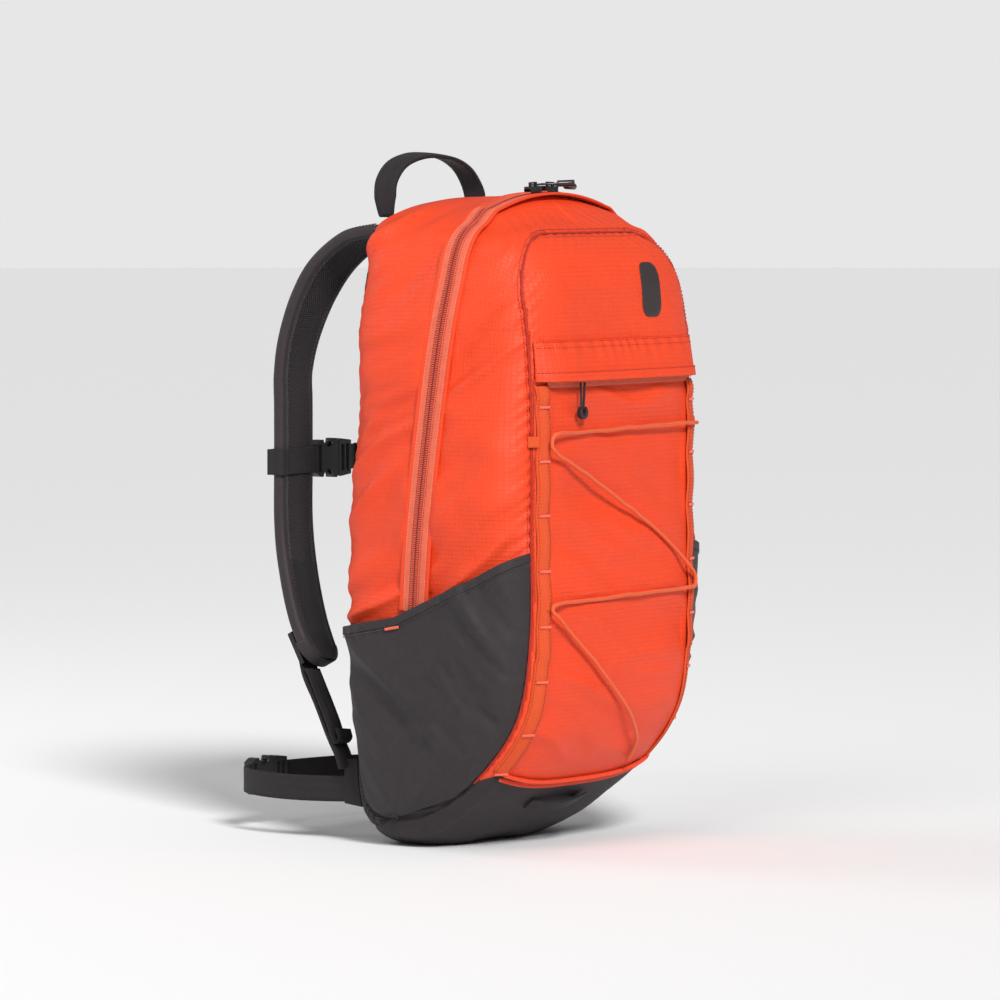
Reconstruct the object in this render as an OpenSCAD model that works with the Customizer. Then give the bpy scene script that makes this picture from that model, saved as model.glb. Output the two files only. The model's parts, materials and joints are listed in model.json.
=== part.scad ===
// Hiking daypack: a zipped fabric bag with a padded harness.
// Millimetres, +Z up. The front panel faces -Y, the back panel and harness face +Y,
// and the wearer's left is -X. The origin is the middle of the flat that the bag stands on;
// the modules draw in the bag's own frame, which starts seat_y further forward.

/* [Bag] */
// Height of the bag without its grab handle
bag_h = 499; // [480:1:520]
// Width of the bag across its widest section
bag_w = 252; // [244:1:260]
// Depth of the bag at its deepest section
bag_d = 192; // [186:1:200]
// Thickness of the fabric with its seam allowance
wall_t = 2.4; // [2:0.1:3]
// Width of the front panel between its side seams
front_w = 206; // [200:1:208]

/* [Zips] */
// Width of the main zip's two tapes together
main_tape_w = 22; // [18:1:24]
// Width of a zip coil
coil_w = 5.6; // [5:0.1:7]
// Height of a zip coil over its tape
coil_h = 2.2; // [1.8:0.1:2.6]
// Radius of the arch that the main zip follows over the top
arch_r = 215; // [212:1:218]
// Where the pocket slider is parked, across the front
pocket_slider_x = -58; // [-70:1:60]

/* [Straps] */
// Width of the shoulder straps' foam at the chest
strap_w = 52; // [46:1:54]
// Thickness of the shoulder straps' foam
strap_t = 8; // [6:0.5:9]
// Width of the load webbing
web_w = 20; // [18:1:20]
// Thickness of one layer of webbing
web_t = 1.4; // [1:0.1:1.6]
// Height of the grab handle over its sewn feet
handle_rise = 52; // [46:1:56]

/* [Hidden] */
$fn = 32;

orange = [0.93, 0.27, 0.10];
orange_dark = [0.80, 0.24, 0.12];
orange_cord = [1.0, 0.42, 0.16];
black = [0.10, 0.10, 0.10];
charcoal = [0.17, 0.17, 0.18];
grey = [0.32, 0.32, 0.34];

half_w = bag_w / 2;
half_d = bag_d / 2;
seat_y = 48;        // from the middle of the bag's depth back to the middle of its flat
lay = 1.0;          // gap under a piece that is sewn flat on the bag
side_count = 56;    // points round one section of the bag
section_steps = 2;  // sections drawn for each row of the profile

// The bag's profile: height, half width, front and back reach, and squareness of the section.
// Lengths are shares of the bag's height, half width and half depth.
PROFILE = [
    [0.000, 0.55, -0.22, 0.80, 2.8],
    [0.006, 0.64, -0.15, 0.88, 2.9],
    [0.024, 0.75, 0.02, 0.97, 3.1],
    [0.060, 0.84, 0.26, 1.02, 3.5],
    [0.120, 0.89, 0.63, 1.03, 4.0],
    [0.210, 0.92, 0.95, 1.00, 4.5],
    [0.340, 0.96, 1.02, 1.00, 5.0],
    [0.500, 1.00, 1.00, 0.99, 5.0],
    [0.680, 0.99, 1.00, 0.91, 5.0],
    [0.812, 0.955, 0.97, 0.90, 5.0],
    [0.892, 0.885, 0.92, 0.91, 4.6],
    [0.945, 0.775, 0.70, 0.93, 4.1],
    [0.978, 0.54, 0.38, 0.84, 3.4],
    [0.994, 0.30, 0.20, 0.60, 2.7],
    [1.000, 0.05, 0.02, 0.20, 2.2]];

// Upper edge of the boot, seen from the side: depth and height.
BOOT_LINE = [[-130, 47], [-74, 50], [-56, 60], [0, 38], [60, 17], [110, 6]];
// Hem of the side pockets, seen from the side: depth and height.
HEM_LINE = [[-90, 232], [-50, 210], [20, 177], [90, 164]];

// Centre line of the left shoulder strap, from its top seam to its tip.
STRAP_LINE = [
    [-42, 93, 473], [-45, 119, 467], [-49, 146, 447], [-53, 163, 421], [-57, 174, 390],
    [-60, 178, 362], [-60, 178, 336], [-60, 178, 292], [-60, 178, 244], [-64, 170, 206],
    [-69, 156, 168], [-73, 138, 137]];
// Share of the strap's width at each point of that line.
STRAP_TAPER = [1.12, 1.12, 1.1, 1.06, 1.02, 1, 1, 1, 1, 0.98, 0.94, 0.82];
strap_twist = 12;    // how far the chest part turns about the vertical

// Route of the bungee over the front panel: across, height, and gap to the panel.
BUNGEE_ROUTE = [
    [96, 324, 5], [60, 324, 1.5], [0, 323, 1.5], [-60, 322, 1.5], [-86, 322, 5], [-92, 319, 5],
    [-93, 313, 5], [-90, 309, 5], [-78, 303, 2], [-50, 290, 1.5], [-20, 275, 1.5],
    [12, 259, 1.5], [42, 243, 1.5], [66, 227, 1.5], [82, 213, 4.5], [90, 206, 5], [91, 200, 5],
    [86, 197, 5], [60, 196, 1.5], [0, 195, 1.5], [-60, 194, 1.5], [-86, 194, 5], [-93, 192, 5],
    [-93, 188, 5], [-88, 184, 5], [-70, 170, 1.5], [-44, 150, 1.5], [-16, 127, 1.5],
    [10, 106, 1.5], [31, 89, 1.5], [44, 76, 1.5], [51, 63, 1.2]];
bungee_r = 1.5;

// Route of the grab handle, left foot to right foot, as shares of its rise.
HANDLE_ROUTE = [
    [-57, 87, 0.0], [-60, 88, 0.3], [-57, 90, 0.6], [-42, 92, 0.85], [-18, 93, 0.98],
    [6, 93, 1.0], [30, 92, 0.94], [48, 91, 0.78], [58, 90, 0.54], [60, 88, 0.28], [57, 87, 0.0]];
handle_foot_z = 483;

// Hip belt halves at belt height, from the anchor to the buckle.
HIP_LEFT = [[-90, 107], [-93, 124], [-95, 147], [-93, 172], [-87, 196], [-78, 213], [-66, 220]];
HIP_RIGHT = [[90, 107], [94, 126], [95, 151], [88, 177], [72, 200], [46, 215], [10, 220], [-20, 220]];
belt_z = 41;
belt_y = 220;

sternum_z = 292;
sternum_y = 184;
anchor_x = 90;
anchor_y = 102.5;
bartack_z = [342, 301, 260, 218, 176, 134, 93, 62];
daisy_x = 95;
daisy_w = 13;
flap_low_z = 361;
flap_high_z = 387;
pocket_zip_z = 366;
lock_tilt = -29;
lock_pos = [-70, 159, 160];
slider_angle_left = -2.9;
slider_angle_right = 2.7;
arch_top = 501.5;
arch_z = arch_top - arch_r;
arch_y = -20;

// ---- numbers and surfaces ----

function unit(v) = v / norm(v);

// Smooth curve through rows of numbers; whole values of t are the rows.
function curve(rows, t) =
    let (last = len(rows) - 1, i = max(0, min(floor(t), last - 1)), f = t - i)
    let (a = rows[max(i - 1, 0)], b = rows[i], c = rows[i + 1], d = rows[min(i + 2, last)])
    0.5 * (2 * b + (c - a) * f + (2 * a - 5 * b + 4 * c - d) * f * f
        + (3 * b - a - 3 * c + d) * f * f * f);

function smooth(rows, steps) =
    [for (i = [0 : (len(rows) - 1) * steps]) curve(rows, i / steps)];

// One row of the profile in millimetres, moved outwards by off.
function sized(row, off) = [
    row[0] * (bag_h + 2 * off) - off,
    row[1] * half_w + off,
    -row[2] * half_d - off,
    row[3] * half_d + off,
    row[4]];

function find_t(z, low, high, n) =
    let (mid = (low + high) / 2)
    n == 0 ? mid
        : curve(PROFILE, mid)[0] * bag_h < z ? find_t(z, mid, high, n - 1) : find_t(z, low, mid, n - 1);

function section(z) = sized(curve(PROFILE, find_t(z, 0, len(PROFILE) - 1, 22)), 0);
function mid_y(s) = (s[2] + s[3]) / 2;
function deep(s) = (s[3] - s[2]) / 2;
function rest_of(share, n) = pow(max(0, 1 - pow(min(1, abs(share)), n)), 1 / n);

// Places on the bag's surface, moved outwards by off.
function front_y(x, z, off) =
    let (s = section(z)) mid_y(s) - (deep(s) + off) * rest_of(x / (s[1] + off), s[4]);
function back_y(x, z, off) =
    let (s = section(z)) mid_y(s) + (deep(s) + off) * rest_of(x / (s[1] + off), s[4]);
function side_x(y, z, off) =
    let (s = section(z)) (s[1] + off) * rest_of((y - mid_y(s)) / (deep(s) + off), s[4]);
function signed_power(v, p) = sign(v) * pow(abs(v), p);
function ring_point(s, angle) = [
    s[1] * signed_power(cos(angle), 2 / s[4]),
    mid_y(s) + deep(s) * signed_power(sin(angle), 2 / s[4]),
    s[0]];

// ---- solids from rings of points ----

// Closed solid through rings that run counter-clockwise about the way they are stacked.
// A thin ring, out along one side and back along the other, is closed strip by strip.
module skin(rings, thin = false) {
    n = len(rings[0]);
    m = len(rings);
    walls = [for (i = [0 : m - 2]) for (j = [0 : n - 1])
        let (a = i * n + j, b = i * n + (j + 1) % n) each [[a, b + n, b], [a, a + n, b + n]]];
    top = (m - 1) * n;
    strips = [for (k = [0 : n / 2 - 2]) each [[k, k + 1, n - 1 - k], [k + 1, n - 2 - k, n - 1 - k],
        [top + k, top + n - 1 - k, top + k + 1], [top + k + 1, top + n - 1 - k, top + n - 2 - k]]];
    ends = [[for (j = [0 : n - 1]) j], [for (j = [0 : n - 1]) top + n - 1 - j]];
    polyhedron([for (r = rings) each r], concat(walls, thin ? strips : ends));
}

// Section, a list of [across, out] points, carried along a path; across_dirs sets its width direction.
module sweep(path, across_dirs, sections) {
    last = len(path) - 1;
    skin([for (i = [0 : last])
        let (along = unit(path[min(i + 1, last)] - path[max(i - 1, 0)]))
        let (raw = across_dirs[min(i, len(across_dirs) - 1)])
        let (across = unit(raw - (raw * along) * along), out = cross(along, across))
        [for (p = sections[min(i, len(sections) - 1)]) path[i] + across * p[0] + out * p[1]]]);
}

function band(width, low, high) =
    [[-width / 2, low], [width / 2, low], [width / 2, high], [-width / 2, high]];
function soft_band(width, low, high, edge) = [
    [-width / 2 + edge, low], [width / 2 - edge, low], [width / 2, low + edge],
    [width / 2, high - edge], [width / 2 - edge, high], [-width / 2 + edge, high],
    [-width / 2, high - edge], [-width / 2, low + edge]];
function disc(r, n) = [for (i = [0 : n - 1]) [r * cos(i * 360 / n), r * sin(i * 360 / n)]];

// From the bag's own frame to the part's frame, whose origin is on the flat.
module seated() {
    translate([0, -seat_y, 0]) children();
}

module mirror_copy(left) {
    if (left) children();
    else mirror([1, 0, 0]) children();
}

// ---- the bag's panels ----

module bag_solid(off) {
    rows = smooth(PROFILE, section_steps);
    skin([for (r = rows) let (s = sized(r, off))
        [for (j = [0 : side_count - 1]) ring_point(s, j * 360 / side_count)]]);
}

module bag_wall(outer, inner) {
    difference() {
        bag_solid(outer);
        bag_solid(inner);
    }
}

// Outline of the front panel: straight sides, round shoulders.
module front_outline(width, top) {
    radius = 52;
    shoulder = [for (a = [0 : 15 : 90]) [width / 2 - radius + radius * cos(a), top - radius + radius * sin(a)]];
    polygon(concat([[-width / 2, -10], [width / 2, -10]], shoulder,
        [for (i = [len(shoulder) - 1 : -1 : 0]) [-shoulder[i][0], shoulder[i][1]]]));
}

module front_prism(width, top) {
    rotate([90, 0, 0]) linear_extrude(140) front_outline(width, top);
}

module back_prism(width, low, high) {
    translate([0, 20, 0]) rotate([-90, 0, 0]) linear_extrude(120)
        polygon([[-width / 2, -low], [width / 2, -low], [width / 2, -high + 24],
            [width / 2 - 24, -high], [-width / 2 + 24, -high], [-width / 2, -high + 24]]);
}

module below_boot_line() {
    rotate([90, 0, 90]) linear_extrude(400, center = true)
        polygon(concat([[110, -20], [-130, -20]], BOOT_LINE));
}

function zip_y(z) = z > 430 ? arch_y : arch_y + (430 - z) * 0.12;

// Right half of a line along the main zip, from the top of the arch down the side.
// shift moves the line to the front or back of the coil.
function zip_half(shift) = concat(
    [for (a = [0 : 4 : 20]) [arch_r * sin(a), arch_y + shift, arch_z + arch_r * cos(a)]],
    [for (z = [480, 475, 469, 462, 454, 445, 434, 421, 405, 385, 360, 320, 280, 240, 206])
        [side_x(zip_y(z) + shift, z, lay), zip_y(z) + shift, z]]);
function zip_line(shift) =
    let (half = zip_half(shift), n = len(half))
    concat([for (i = [n - 1 : -1 : 1]) [-half[i][0], half[i][1], half[i][2]]], half);

module zip_strip(shift, width, low, high) {
    sweep(zip_line(shift), [[0, 1, 0]], [band(width, low, high)]);
}

module bag_gusset() {
    color(orange) difference() {
        bag_wall(0, -wall_t);
        front_prism(front_w, 473);
        back_prism(204, -10, 462);
        below_boot_line();
        zip_strip(0, 7, -12, 6);
    }
}

module front_panel() {
    color(orange) difference() {
        intersection() {
            bag_wall(0, -wall_t);
            front_prism(front_w, 473);
        }
        translate([-150, -150, -10]) cube([300, 150, pocket_zip_z + 10]);
    }
}

module pocket_panel() {
    color(orange) difference() {
        intersection() {
            bag_wall(0, -wall_t);
            front_prism(front_w, 473);
            translate([-150, -150, -10]) cube([300, 150, pocket_zip_z + 10]);
        }
        below_boot_line();
        translate([-94, -150, pocket_zip_z - 3.5]) cube([188, 150, 10]);
    }
}

module pocket_back_wall() {
    color(orange_dark) difference() {
        intersection() {
            bag_wall(-7.5, -9);
            front_prism(196, 380);
        }
        translate([-150, -150, -10]) cube([300, 300, 70]);
    }
}

module boot_panel() {
    color(charcoal) intersection() {
        bag_wall(0, -wall_t);
        below_boot_line();
    }
}

module back_panel_mesh() {
    color(black) difference() {
        intersection() {
            bag_wall(0, -wall_t);
            back_prism(204, -10, 462);
        }
        below_boot_line();
    }
}

module back_panel_foam() {
    color(grey) intersection() {
        bag_wall(-wall_t - 0.4, -wall_t - 6.4);
        back_prism(190, 40, 452);
    }
}

module hydration_sleeve() {
    path = [for (z = [70 : 45 : 385]) [0, back_y(0, z, -16), z]];
    color(grey) sweep(path, [[1, 0, 0]], [band(150, -0.8, 0.8)]);
}

module hydration_loop() {
    path = [[-9, 72, 446], [-9, 68, 434], [-4, 66, 426], [4, 66, 426], [9, 68, 434], [9, 72, 446]];
    color(black) sweep(path, [[0, 1, 0.2]], [band(10, -0.7, 0.7)]);
}

// ---- pieces sewn on the front ----

module across_front(x0, x1, step, z, off, width, low, high) {
    path = [for (x = [x0 : step : x1]) [x, front_y(x, z, off), z]];
    sweep(path, [[0, 0, 1]], [band(width, low, high)]);
}

module storm_flap() {
    end = 101;
    z = (flap_low_z + flap_high_z) / 2;
    path = [for (x = [-end : end / 14 : end])
        [x, front_y(x, z, 1.6 + 8.4 * (1 - pow(abs(x) / end, 10))), z]];
    color(orange) sweep(path, [[0, 0, 1]], [band(flap_high_z - flap_low_z, 0, 1.2)]);
}

module pocket_zip_tape() {
    color(orange_dark) for (side = [-1, 1])
        across_front(-90, 90, 10, pocket_zip_z + side * 6, lay, 7, 0, 0.7);
}

module pocket_zip_coil() {
    length = 166;
    color(orange_dark) translate([-length / 2, front_y(0, pocket_zip_z, lay) - coil_h - 0.8, pocket_zip_z - 2])
        cube([length, coil_h, 4]);
}

module badge() {
    path = [for (z = [408 : 8 : 448]) [44, front_y(44, z, lay), z]];
    color(charcoal) sweep(path, [[-1, 0, 0]], [band(22, 0, 0.5)]);
}

module seam_piping() {
    path = [for (x = [-92 : 11.5 : 92])
        let (z = 51 + 10 * pow(abs(x) / 92, 3)) [x, front_y(x, z, 2.6), z]];
    color(orange) sweep(path, [[0, 0, 1]], [disc(1.6, 8)]);
}

module boot_loop() {
    path = [for (x = [-34 : 8.5 : 34])
        let (z = 34, bow = 4 * cos(x * 90 / 34)) [x, front_y(x, z, 2 + bow), z - bow]];
    color(charcoal) sweep(path, [[0, front_y(0, 38, 0) - front_y(0, 30, 0), 8]], [band(12, 0, web_t)]);
}

// Direction across the panel at a place near its side, from the left edge inwards.
function front_across(x, z) = unit([12, front_y(x + 6, z, 0) - front_y(x - 6, z, 0), 0]);

module daisy_chain(left) {
    heights = concat([flap_low_z - 3], bartack_z);
    path = [for (i = [0 : len(heights) - 2]) for (k = [0 : 3])
        let (z = heights[i] + (heights[i + 1] - heights[i]) * k / 4, bow = 2.6 * sin(k * 45))
        [-daisy_x, front_y(daisy_x, z, lay + 0.3 + bow), z]];
    color(orange) mirror_copy(left)
        sweep(path, [for (p = path) front_across(-daisy_x, p[2])], [band(daisy_w, 0, web_t)]);
}

module bartacks() {
    color(orange_dark) {
        for (left = [true, false]) for (z = bartack_z)
            let (across = front_across(-daisy_x, z))
                mirror_copy(left) translate([-daisy_x, front_y(daisy_x, z, lay + web_t + 1.8), z])
                    rotate([0, 0, atan2(across[1], across[0])]) cube([9, 0.8, 1.8], center = true);
        for (side = [-1, 1]) translate([side * (side_x(24, 170, 11.4)), 24, 170])
            rotate([10, 0, 0]) cube([0.8, 13, 2], center = true);
    }
}

module bungee_cord() {
    points = smooth(BUNGEE_ROUTE, 2);
    path = [for (p = points) [p[0], front_y(p[0], p[1], p[2] + bungee_r + 1.4), p[1]]];
    color(orange_cord) sweep(path, [[0, -1, 0.3]], [disc(bungee_r, 8)]);
}

// Folded webbing tabs on the side seams that the top of the bungee is laced through.
module bungee_loops() {
    spots = [[103, 324], [-104, 316]];
    color(orange) for (s = spots)
        translate([s[0] + sign(s[0]) * 4, front_y(s[0] + sign(s[0]) * 4, s[1], 4), s[1]])
            rotate([0, 0, sign(s[0]) * 40]) cube([5, 1.2, 9], center = true);
}

// ---- side pockets ----

// Angle between the side of a section and the seam where its front or back panel begins.
function seam_angle(s) = acos(pow(min(1, pocket_edge_x / s[1]), s[4] / 2));
pocket_edge_x = 104;

// Sheet that wraps the bag's left side between its seams, from the boot up to the pocket hem.
module side_pocket(left) {
    columns = 15;
    rows = 7;
    function pocket_point(across, share, off) =
        let (probe = ring_point(section(150), 180 + across * seam_angle(section(150))))
        let (low = lookup(probe[1], BOOT_LINE) + 4, high = lookup(probe[1], HEM_LINE))
        let (z = low + (high - low) * share, s = section(z), angle = 180 + across * seam_angle(s))
        let (edge = max(0, min(1, 4 * (1 - abs(across)))))
        let (stand = lay + 0.4 + (1 - pow(1 - share, 3)) * 7.6 * edge + off)
        ring_point([z, s[1] + stand, s[2] - stand, s[3] + stand, s[4]], angle);
    rings = [for (j = [0 : columns]) let (across = 1 - 2 * j / columns) concat(
        [for (i = [0 : rows]) pocket_point(across, i / rows, 1.4)],
        [for (i = [rows : -1 : 0]) pocket_point(across, i / rows, 0)])];
    color(black) mirror_copy(left) skin(rings, thin = true);
}

// ---- zips ----

module main_zip_tape() {
    side_w = main_tape_w / 2 - 1.6;
    color(orange_dark) for (side = [-1, 1]) zip_strip(side * (side_w / 2 + 1.6), side_w, 0, 0.7);
}

module main_zip_coil() {
    color(orange_dark) zip_strip(0, 2.4, 0, 1.2);
    color(orange_dark) zip_strip(0, coil_w, 1.1, 1.1 + coil_h);
}

// Slider over a coil that runs along X with its face up; its bridge runs along X.
module slider_body() {
    inside_h = coil_h + 0.7;
    difference() {
        hull() for (s = [-1, 1]) translate([s * 4, 0, 1.4]) cylinder(r = 4.4, h = inside_h + 1.6);
        translate([-12, -coil_w / 2 - 0.4, 0]) cube([24, coil_w + 0.8, 1.4 + inside_h]);
    }
    for (s = [-1, 1]) translate([s * 3.4 - 0.7, -1, inside_h + 2.6]) cube([1.4, 2, 2.6]);
    translate([-4.1, -1, inside_h + 5.2]) cube([8.2, 2, 1.2]);
}

module on_arch(angle) {
    translate([0, arch_y, arch_z]) rotate([0, angle, 0]) translate([0, 0, arch_r]) children();
}

module main_slider(left) {
    color(black) on_arch(left ? slider_angle_left : slider_angle_right) slider_body();
}

// Pull tab, cord loop and moulded grip lying along +X from a slider's bridge.
module main_pull(left) {
    lean = left ? -42 : 8;
    color(black) on_arch(left ? slider_angle_left : slider_angle_right) translate([0, 0, 7]) {
        difference() {
            translate([0.2, -2.6, -0.6]) cube([11.8, 5.2, 1.2]);
            translate([1.8, -1.4, -1]) cube([7, 2.8, 2]);
        }
        translate([10.6, 0, 0]) rotate([0, 0, lean]) {
            for (s = [-1, 1]) translate([0, s * 1.5, 0]) rotate([0, 90, 0]) cylinder(r = 0.8, h = 14);
            translate([13, 0, 0]) rotate([0, 90, 0]) cylinder(r = 2.5, h = 13);
        }
    }
}

module pocket_slider() {
    color(black) translate([pocket_slider_x, front_y(0, pocket_zip_z, lay) - 0.6, pocket_zip_z])
        rotate([90, 0, 0]) scale(0.72) slider_body();
}

pull_y = front_y(0, pocket_zip_z, lay) - 6.1;

module pocket_cord_pull() {
    color(black) translate([pocket_slider_x, pull_y, pocket_zip_z - 5]) {
        for (s = [-1, 1]) translate([s * 1.2, 0, -21]) rotate([0, s * 4, 0]) cylinder(r = 0.9, h = 20);
        translate([0, 0, -24]) rotate([90, 0, 0]) difference() {
            cylinder(r = 5, h = 3.4, center = true);
            cylinder(r = 2.2, h = 5, center = true);
            translate([-2.2, 1, -3]) cube([4.4, 6, 6]);
        }
    }
}

// ---- harness ----

module grab_handle() {
    path = [for (p = smooth(HANDLE_ROUTE, 2)) [p[0], p[1], handle_foot_z + handle_rise * p[2]]];
    widths = [for (p = path) min(web_w, 5 + 1.3 * (p[2] - handle_foot_z))];
    color(charcoal) sweep(path, [[0, 1, 0.1]], [for (w = widths) band(w, 0, 2 * web_t)]);
}

module yoke_patch() {
    path = [for (z = [430 : 8 : 462]) [0, back_y(0, z, lay), z]];
    color(black) sweep(path, [[1, 0, 0]], [band(120, 0, 1.6)]);
}

function strap_path(steps) = smooth(STRAP_LINE, steps);
function strap_turn(steps) = [for (p = strap_path(steps))
    let (share = min(1, max(0, (472 - p[2]) / 110))) [-cos(strap_twist * share), -sin(strap_twist * share), 0]];
function strap_widths(steps) = [for (i = [0 : (len(STRAP_TAPER) - 1) * steps]) strap_w * curve(STRAP_TAPER, i / steps)];

module along_strap(left, steps, sections) {
    mirror_copy(left) sweep(strap_path(steps), strap_turn(steps), sections);
}

module strap_foam(left) {
    color(charcoal) along_strap(left, 2,
        [for (w = strap_widths(2)) soft_band(w - 4, -strap_t / 2 + 1.6, strap_t / 2, 2.2)]);
}

module strap_mesh(left) {
    color(black) along_strap(left, 2,
        [for (w = strap_widths(2)) band(w - 5, -strap_t / 2, -strap_t / 2 + 0.7)]);
}

module strap_binding(left) {
    color(charcoal) for (side = [-1, 1]) along_strap(left, 2,
        [for (w = strap_widths(2)) [for (p = band(1.5, -strap_t / 2, strap_t / 2 - 2)) [p[0] + side * (w / 2 - 1.0), p[1]]]]);
}

module strap_webbing(left) {
    path = [for (i = [3 : 20]) strap_path(2)[i]];
    turns = [for (i = [3 : 20]) strap_turn(2)[i]];
    color(black) mirror_copy(left) sweep(path, turns, [band(16, strap_t / 2 + 0.3, strap_t / 2 + 0.3 + web_t)]);
}

module ladder_loop(left) {
    part = [36 : 40];
    color(black) mirror_copy(left) sweep([for (i = part) strap_path(4)[i]],
        [for (i = part) strap_turn(4)[i]], [band(17, 6.2, 6.2 + web_t)]);
}

module ladder_lock(left) {
    length = 27;
    width = 29;
    color(black) mirror_copy(left) translate(lock_pos) rotate([lock_tilt, 0, 0])
        translate([-width / 2, 1.2, -length + 1]) difference() {
            cube([width, 4.6, length]);
            translate([3.8, -1, length - 6.4]) cube([width - 7.6, 8, 3.6]);
            translate([3.8, -1, 11.6]) cube([width - 7.6, 8, 3.8]);
            translate([3.8, -1, 3.4]) cube([width - 7.6, 8, 3.6]);
        }
}

module lower_webbing(left) {
    path = [[-anchor_x, 105, 70], [-87, 114, 82], [-81, 131, 106], [-77, 145, 125]];
    color(black) mirror_copy(left) sweep(path, [[1, 0, 0]], [band(web_w - 2, 0, 2 * web_t)]);
}

// Sewn wings at the bottom corners of the back panel that carry the belt and the lower webbing.
module anchor_wings() {
    seam = [for (z = [28 : 9 : 64]) [back_y(anchor_x + 1.2, z, lay), z]];
    color(black) for (side = [-1, 1]) translate([side * anchor_x, 0, 0])
        rotate([90, 0, 90]) linear_extrude(2.4, center = true)
            polygon(concat([[anchor_y, 65], [anchor_y, 30]], seam));
}

// ---- buckles: length along X, width along Z, thickness along Y ----

buckle_w = 31;
buckle_t = 8.4;

module socket_part() {
    length = 27;
    rotate([90, 0, 0]) difference() {
        linear_extrude(buckle_t, center = true) difference() {
            polygon([[-length, -11.5], [-length + 5, -14.5], [-2, -15.5], [0, -13.5], [0, 13.5], [-2, 15.5],
                [-length + 5, 14.5], [-length, 11.5]]);
            for (s = [-1, 1]) translate([-12, s * 15.4]) circle(r = 6.4);
            translate([-length + 2.4, -10.6]) square([3.6, 21.2]);
        }
        translate([-19, -12.8, -2.7]) cube([22, 25.6, 5.4]);
    }
}

module plug_part() {
    rotate([90, 0, 0]) {
        linear_extrude(buckle_t - 1, center = true) difference() {
            polygon([[0.6, -14], [4, -15], [17, -13.5], [17, 13.5], [4, 15], [0.6, 14]]);
            translate([4.6, -10.6]) square([3.4, 21.2]);
            translate([10.6, -10.6]) square([3.4, 21.2]);
        }
        translate([-17, -1.8, -1.9]) cube([18.5, 3.6, 3.8]);
    }
}

// One sprung arm of the plug; its pad shows in the socket's side window.
module plug_arm(side) {
    rotate([90, 0, 0]) linear_extrude(4.2, center = true)
        polygon([[0.3, side * 8.2], [-6.4, side * 9.4], [-7.4, side * 12.2], [-15.6, side * 11.6],
            [-16.6, side * 8.4], [-9, side * 6.6], [0.3, side * 5.2]]);
}

module at_sternum() {
    translate([-1, sternum_y, sternum_z]) children();
}

module at_hip() {
    translate([-38, belt_y, belt_z]) children();
}

// Band round the shoulder strap that carries the sternum strap.
module sternum_tab(left) {
    tab_h = 20;
    inner_w = strap_w + 3;
    inner_t = strap_t + web_t + 2.6;
    color(black) mirror_copy(left) translate([STRAP_LINE[7][0], STRAP_LINE[7][1] + 0.8, sternum_z])
        rotate([0, 0, strap_twist]) difference() {
            translate([-inner_w / 2 - web_t, -inner_t / 2 - web_t, -tab_h / 2])
                cube([inner_w + 2 * web_t, inner_t + 2 * web_t, tab_h]);
            translate([-inner_w / 2, -inner_t / 2, -tab_h]) cube([inner_w, inner_t, 2 * tab_h]);
        }
}

module sternum_socket() {
    color(black) at_sternum() {
        socket_part();
        translate([-30.4, -web_t / 2, -web_w / 2]) cube([3.6, web_t, web_w]);
    }
}

module sternum_plug() {
    color(black) at_sternum() {
        plug_part();
        translate([17.2, -web_t / 2, -web_w / 2]) cube([14.6, web_t, web_w]);
    }
}

module belt_half(points, start, stop) {
    path = [for (i = [start : stop]) [points[i][0], points[i][1], belt_z]];
    sweep(path, [[0, 0, 1]], [band(web_w, -web_t / 2, web_t / 2)]);
}

module hip_webbing_left() {
    color(black) belt_half(smooth(HIP_LEFT, 2), 0, (len(HIP_LEFT) - 1) * 2);
}

module hip_webbing_right() {
    color(black) belt_half(smooth(HIP_RIGHT, 2), 0, (len(HIP_RIGHT) - 1) * 2);
}

seated() bag_gusset();
seated() front_panel();
seated() pocket_panel();
seated() pocket_back_wall();
seated() storm_flap();
seated() boot_panel();
seated() back_panel_mesh();
seated() back_panel_foam();
seated() hydration_sleeve();
seated() hydration_loop();
seated() side_pocket(true);  // side_pocket_left
seated() side_pocket(false);  // side_pocket_right
seated() bartacks();
seated() main_zip_tape();
seated() main_zip_coil();
seated() pocket_zip_tape();
seated() pocket_zip_coil();
seated() main_slider(true);  // main_slider_left
seated() main_slider(false);  // main_slider_right
seated() main_pull(true);  // main_pull_left
seated() main_pull(false);  // main_pull_right
seated() pocket_slider();
seated() pocket_cord_pull();
seated() daisy_chain(true);  // daisy_chain_left
seated() daisy_chain(false);  // daisy_chain_right
seated() bungee_cord();
seated() bungee_loops();
seated() seam_piping();
seated() boot_loop();
seated() badge();
seated() grab_handle();
seated() yoke_patch();
seated() strap_foam(true);  // strap_foam_left
seated() strap_foam(false);  // strap_foam_right
seated() strap_mesh(true);  // strap_mesh_left
seated() strap_mesh(false);  // strap_mesh_right
seated() strap_binding(true);  // strap_binding_left
seated() strap_binding(false);  // strap_binding_right
seated() strap_webbing(true);  // strap_webbing_left
seated() strap_webbing(false);  // strap_webbing_right
seated() ladder_lock(true);  // ladder_lock_left
seated() ladder_lock(false);  // ladder_lock_right
seated() ladder_loop(true);  // ladder_loop_left
seated() ladder_loop(false);  // ladder_loop_right
seated() lower_webbing(true);  // lower_webbing_left
seated() lower_webbing(false);  // lower_webbing_right
seated() anchor_wings();
seated() sternum_tab(true);  // sternum_tab_left
seated() sternum_tab(false);  // sternum_tab_right
seated() sternum_socket();
seated() sternum_plug();
seated() color(black) at_sternum() plug_arm(1);  // sternum_arm_upper
seated() color(black) at_sternum() plug_arm(-1);  // sternum_arm_lower
seated() hip_webbing_left();
seated() hip_webbing_right();
seated() color(black) at_hip() socket_part();  // hip_socket
seated() color(black) at_hip() plug_part();  // hip_plug
seated() color(black) at_hip() plug_arm(1);  // hip_arm_upper
seated() color(black) at_hip() plug_arm(-1);  // hip_arm_lower
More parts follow.
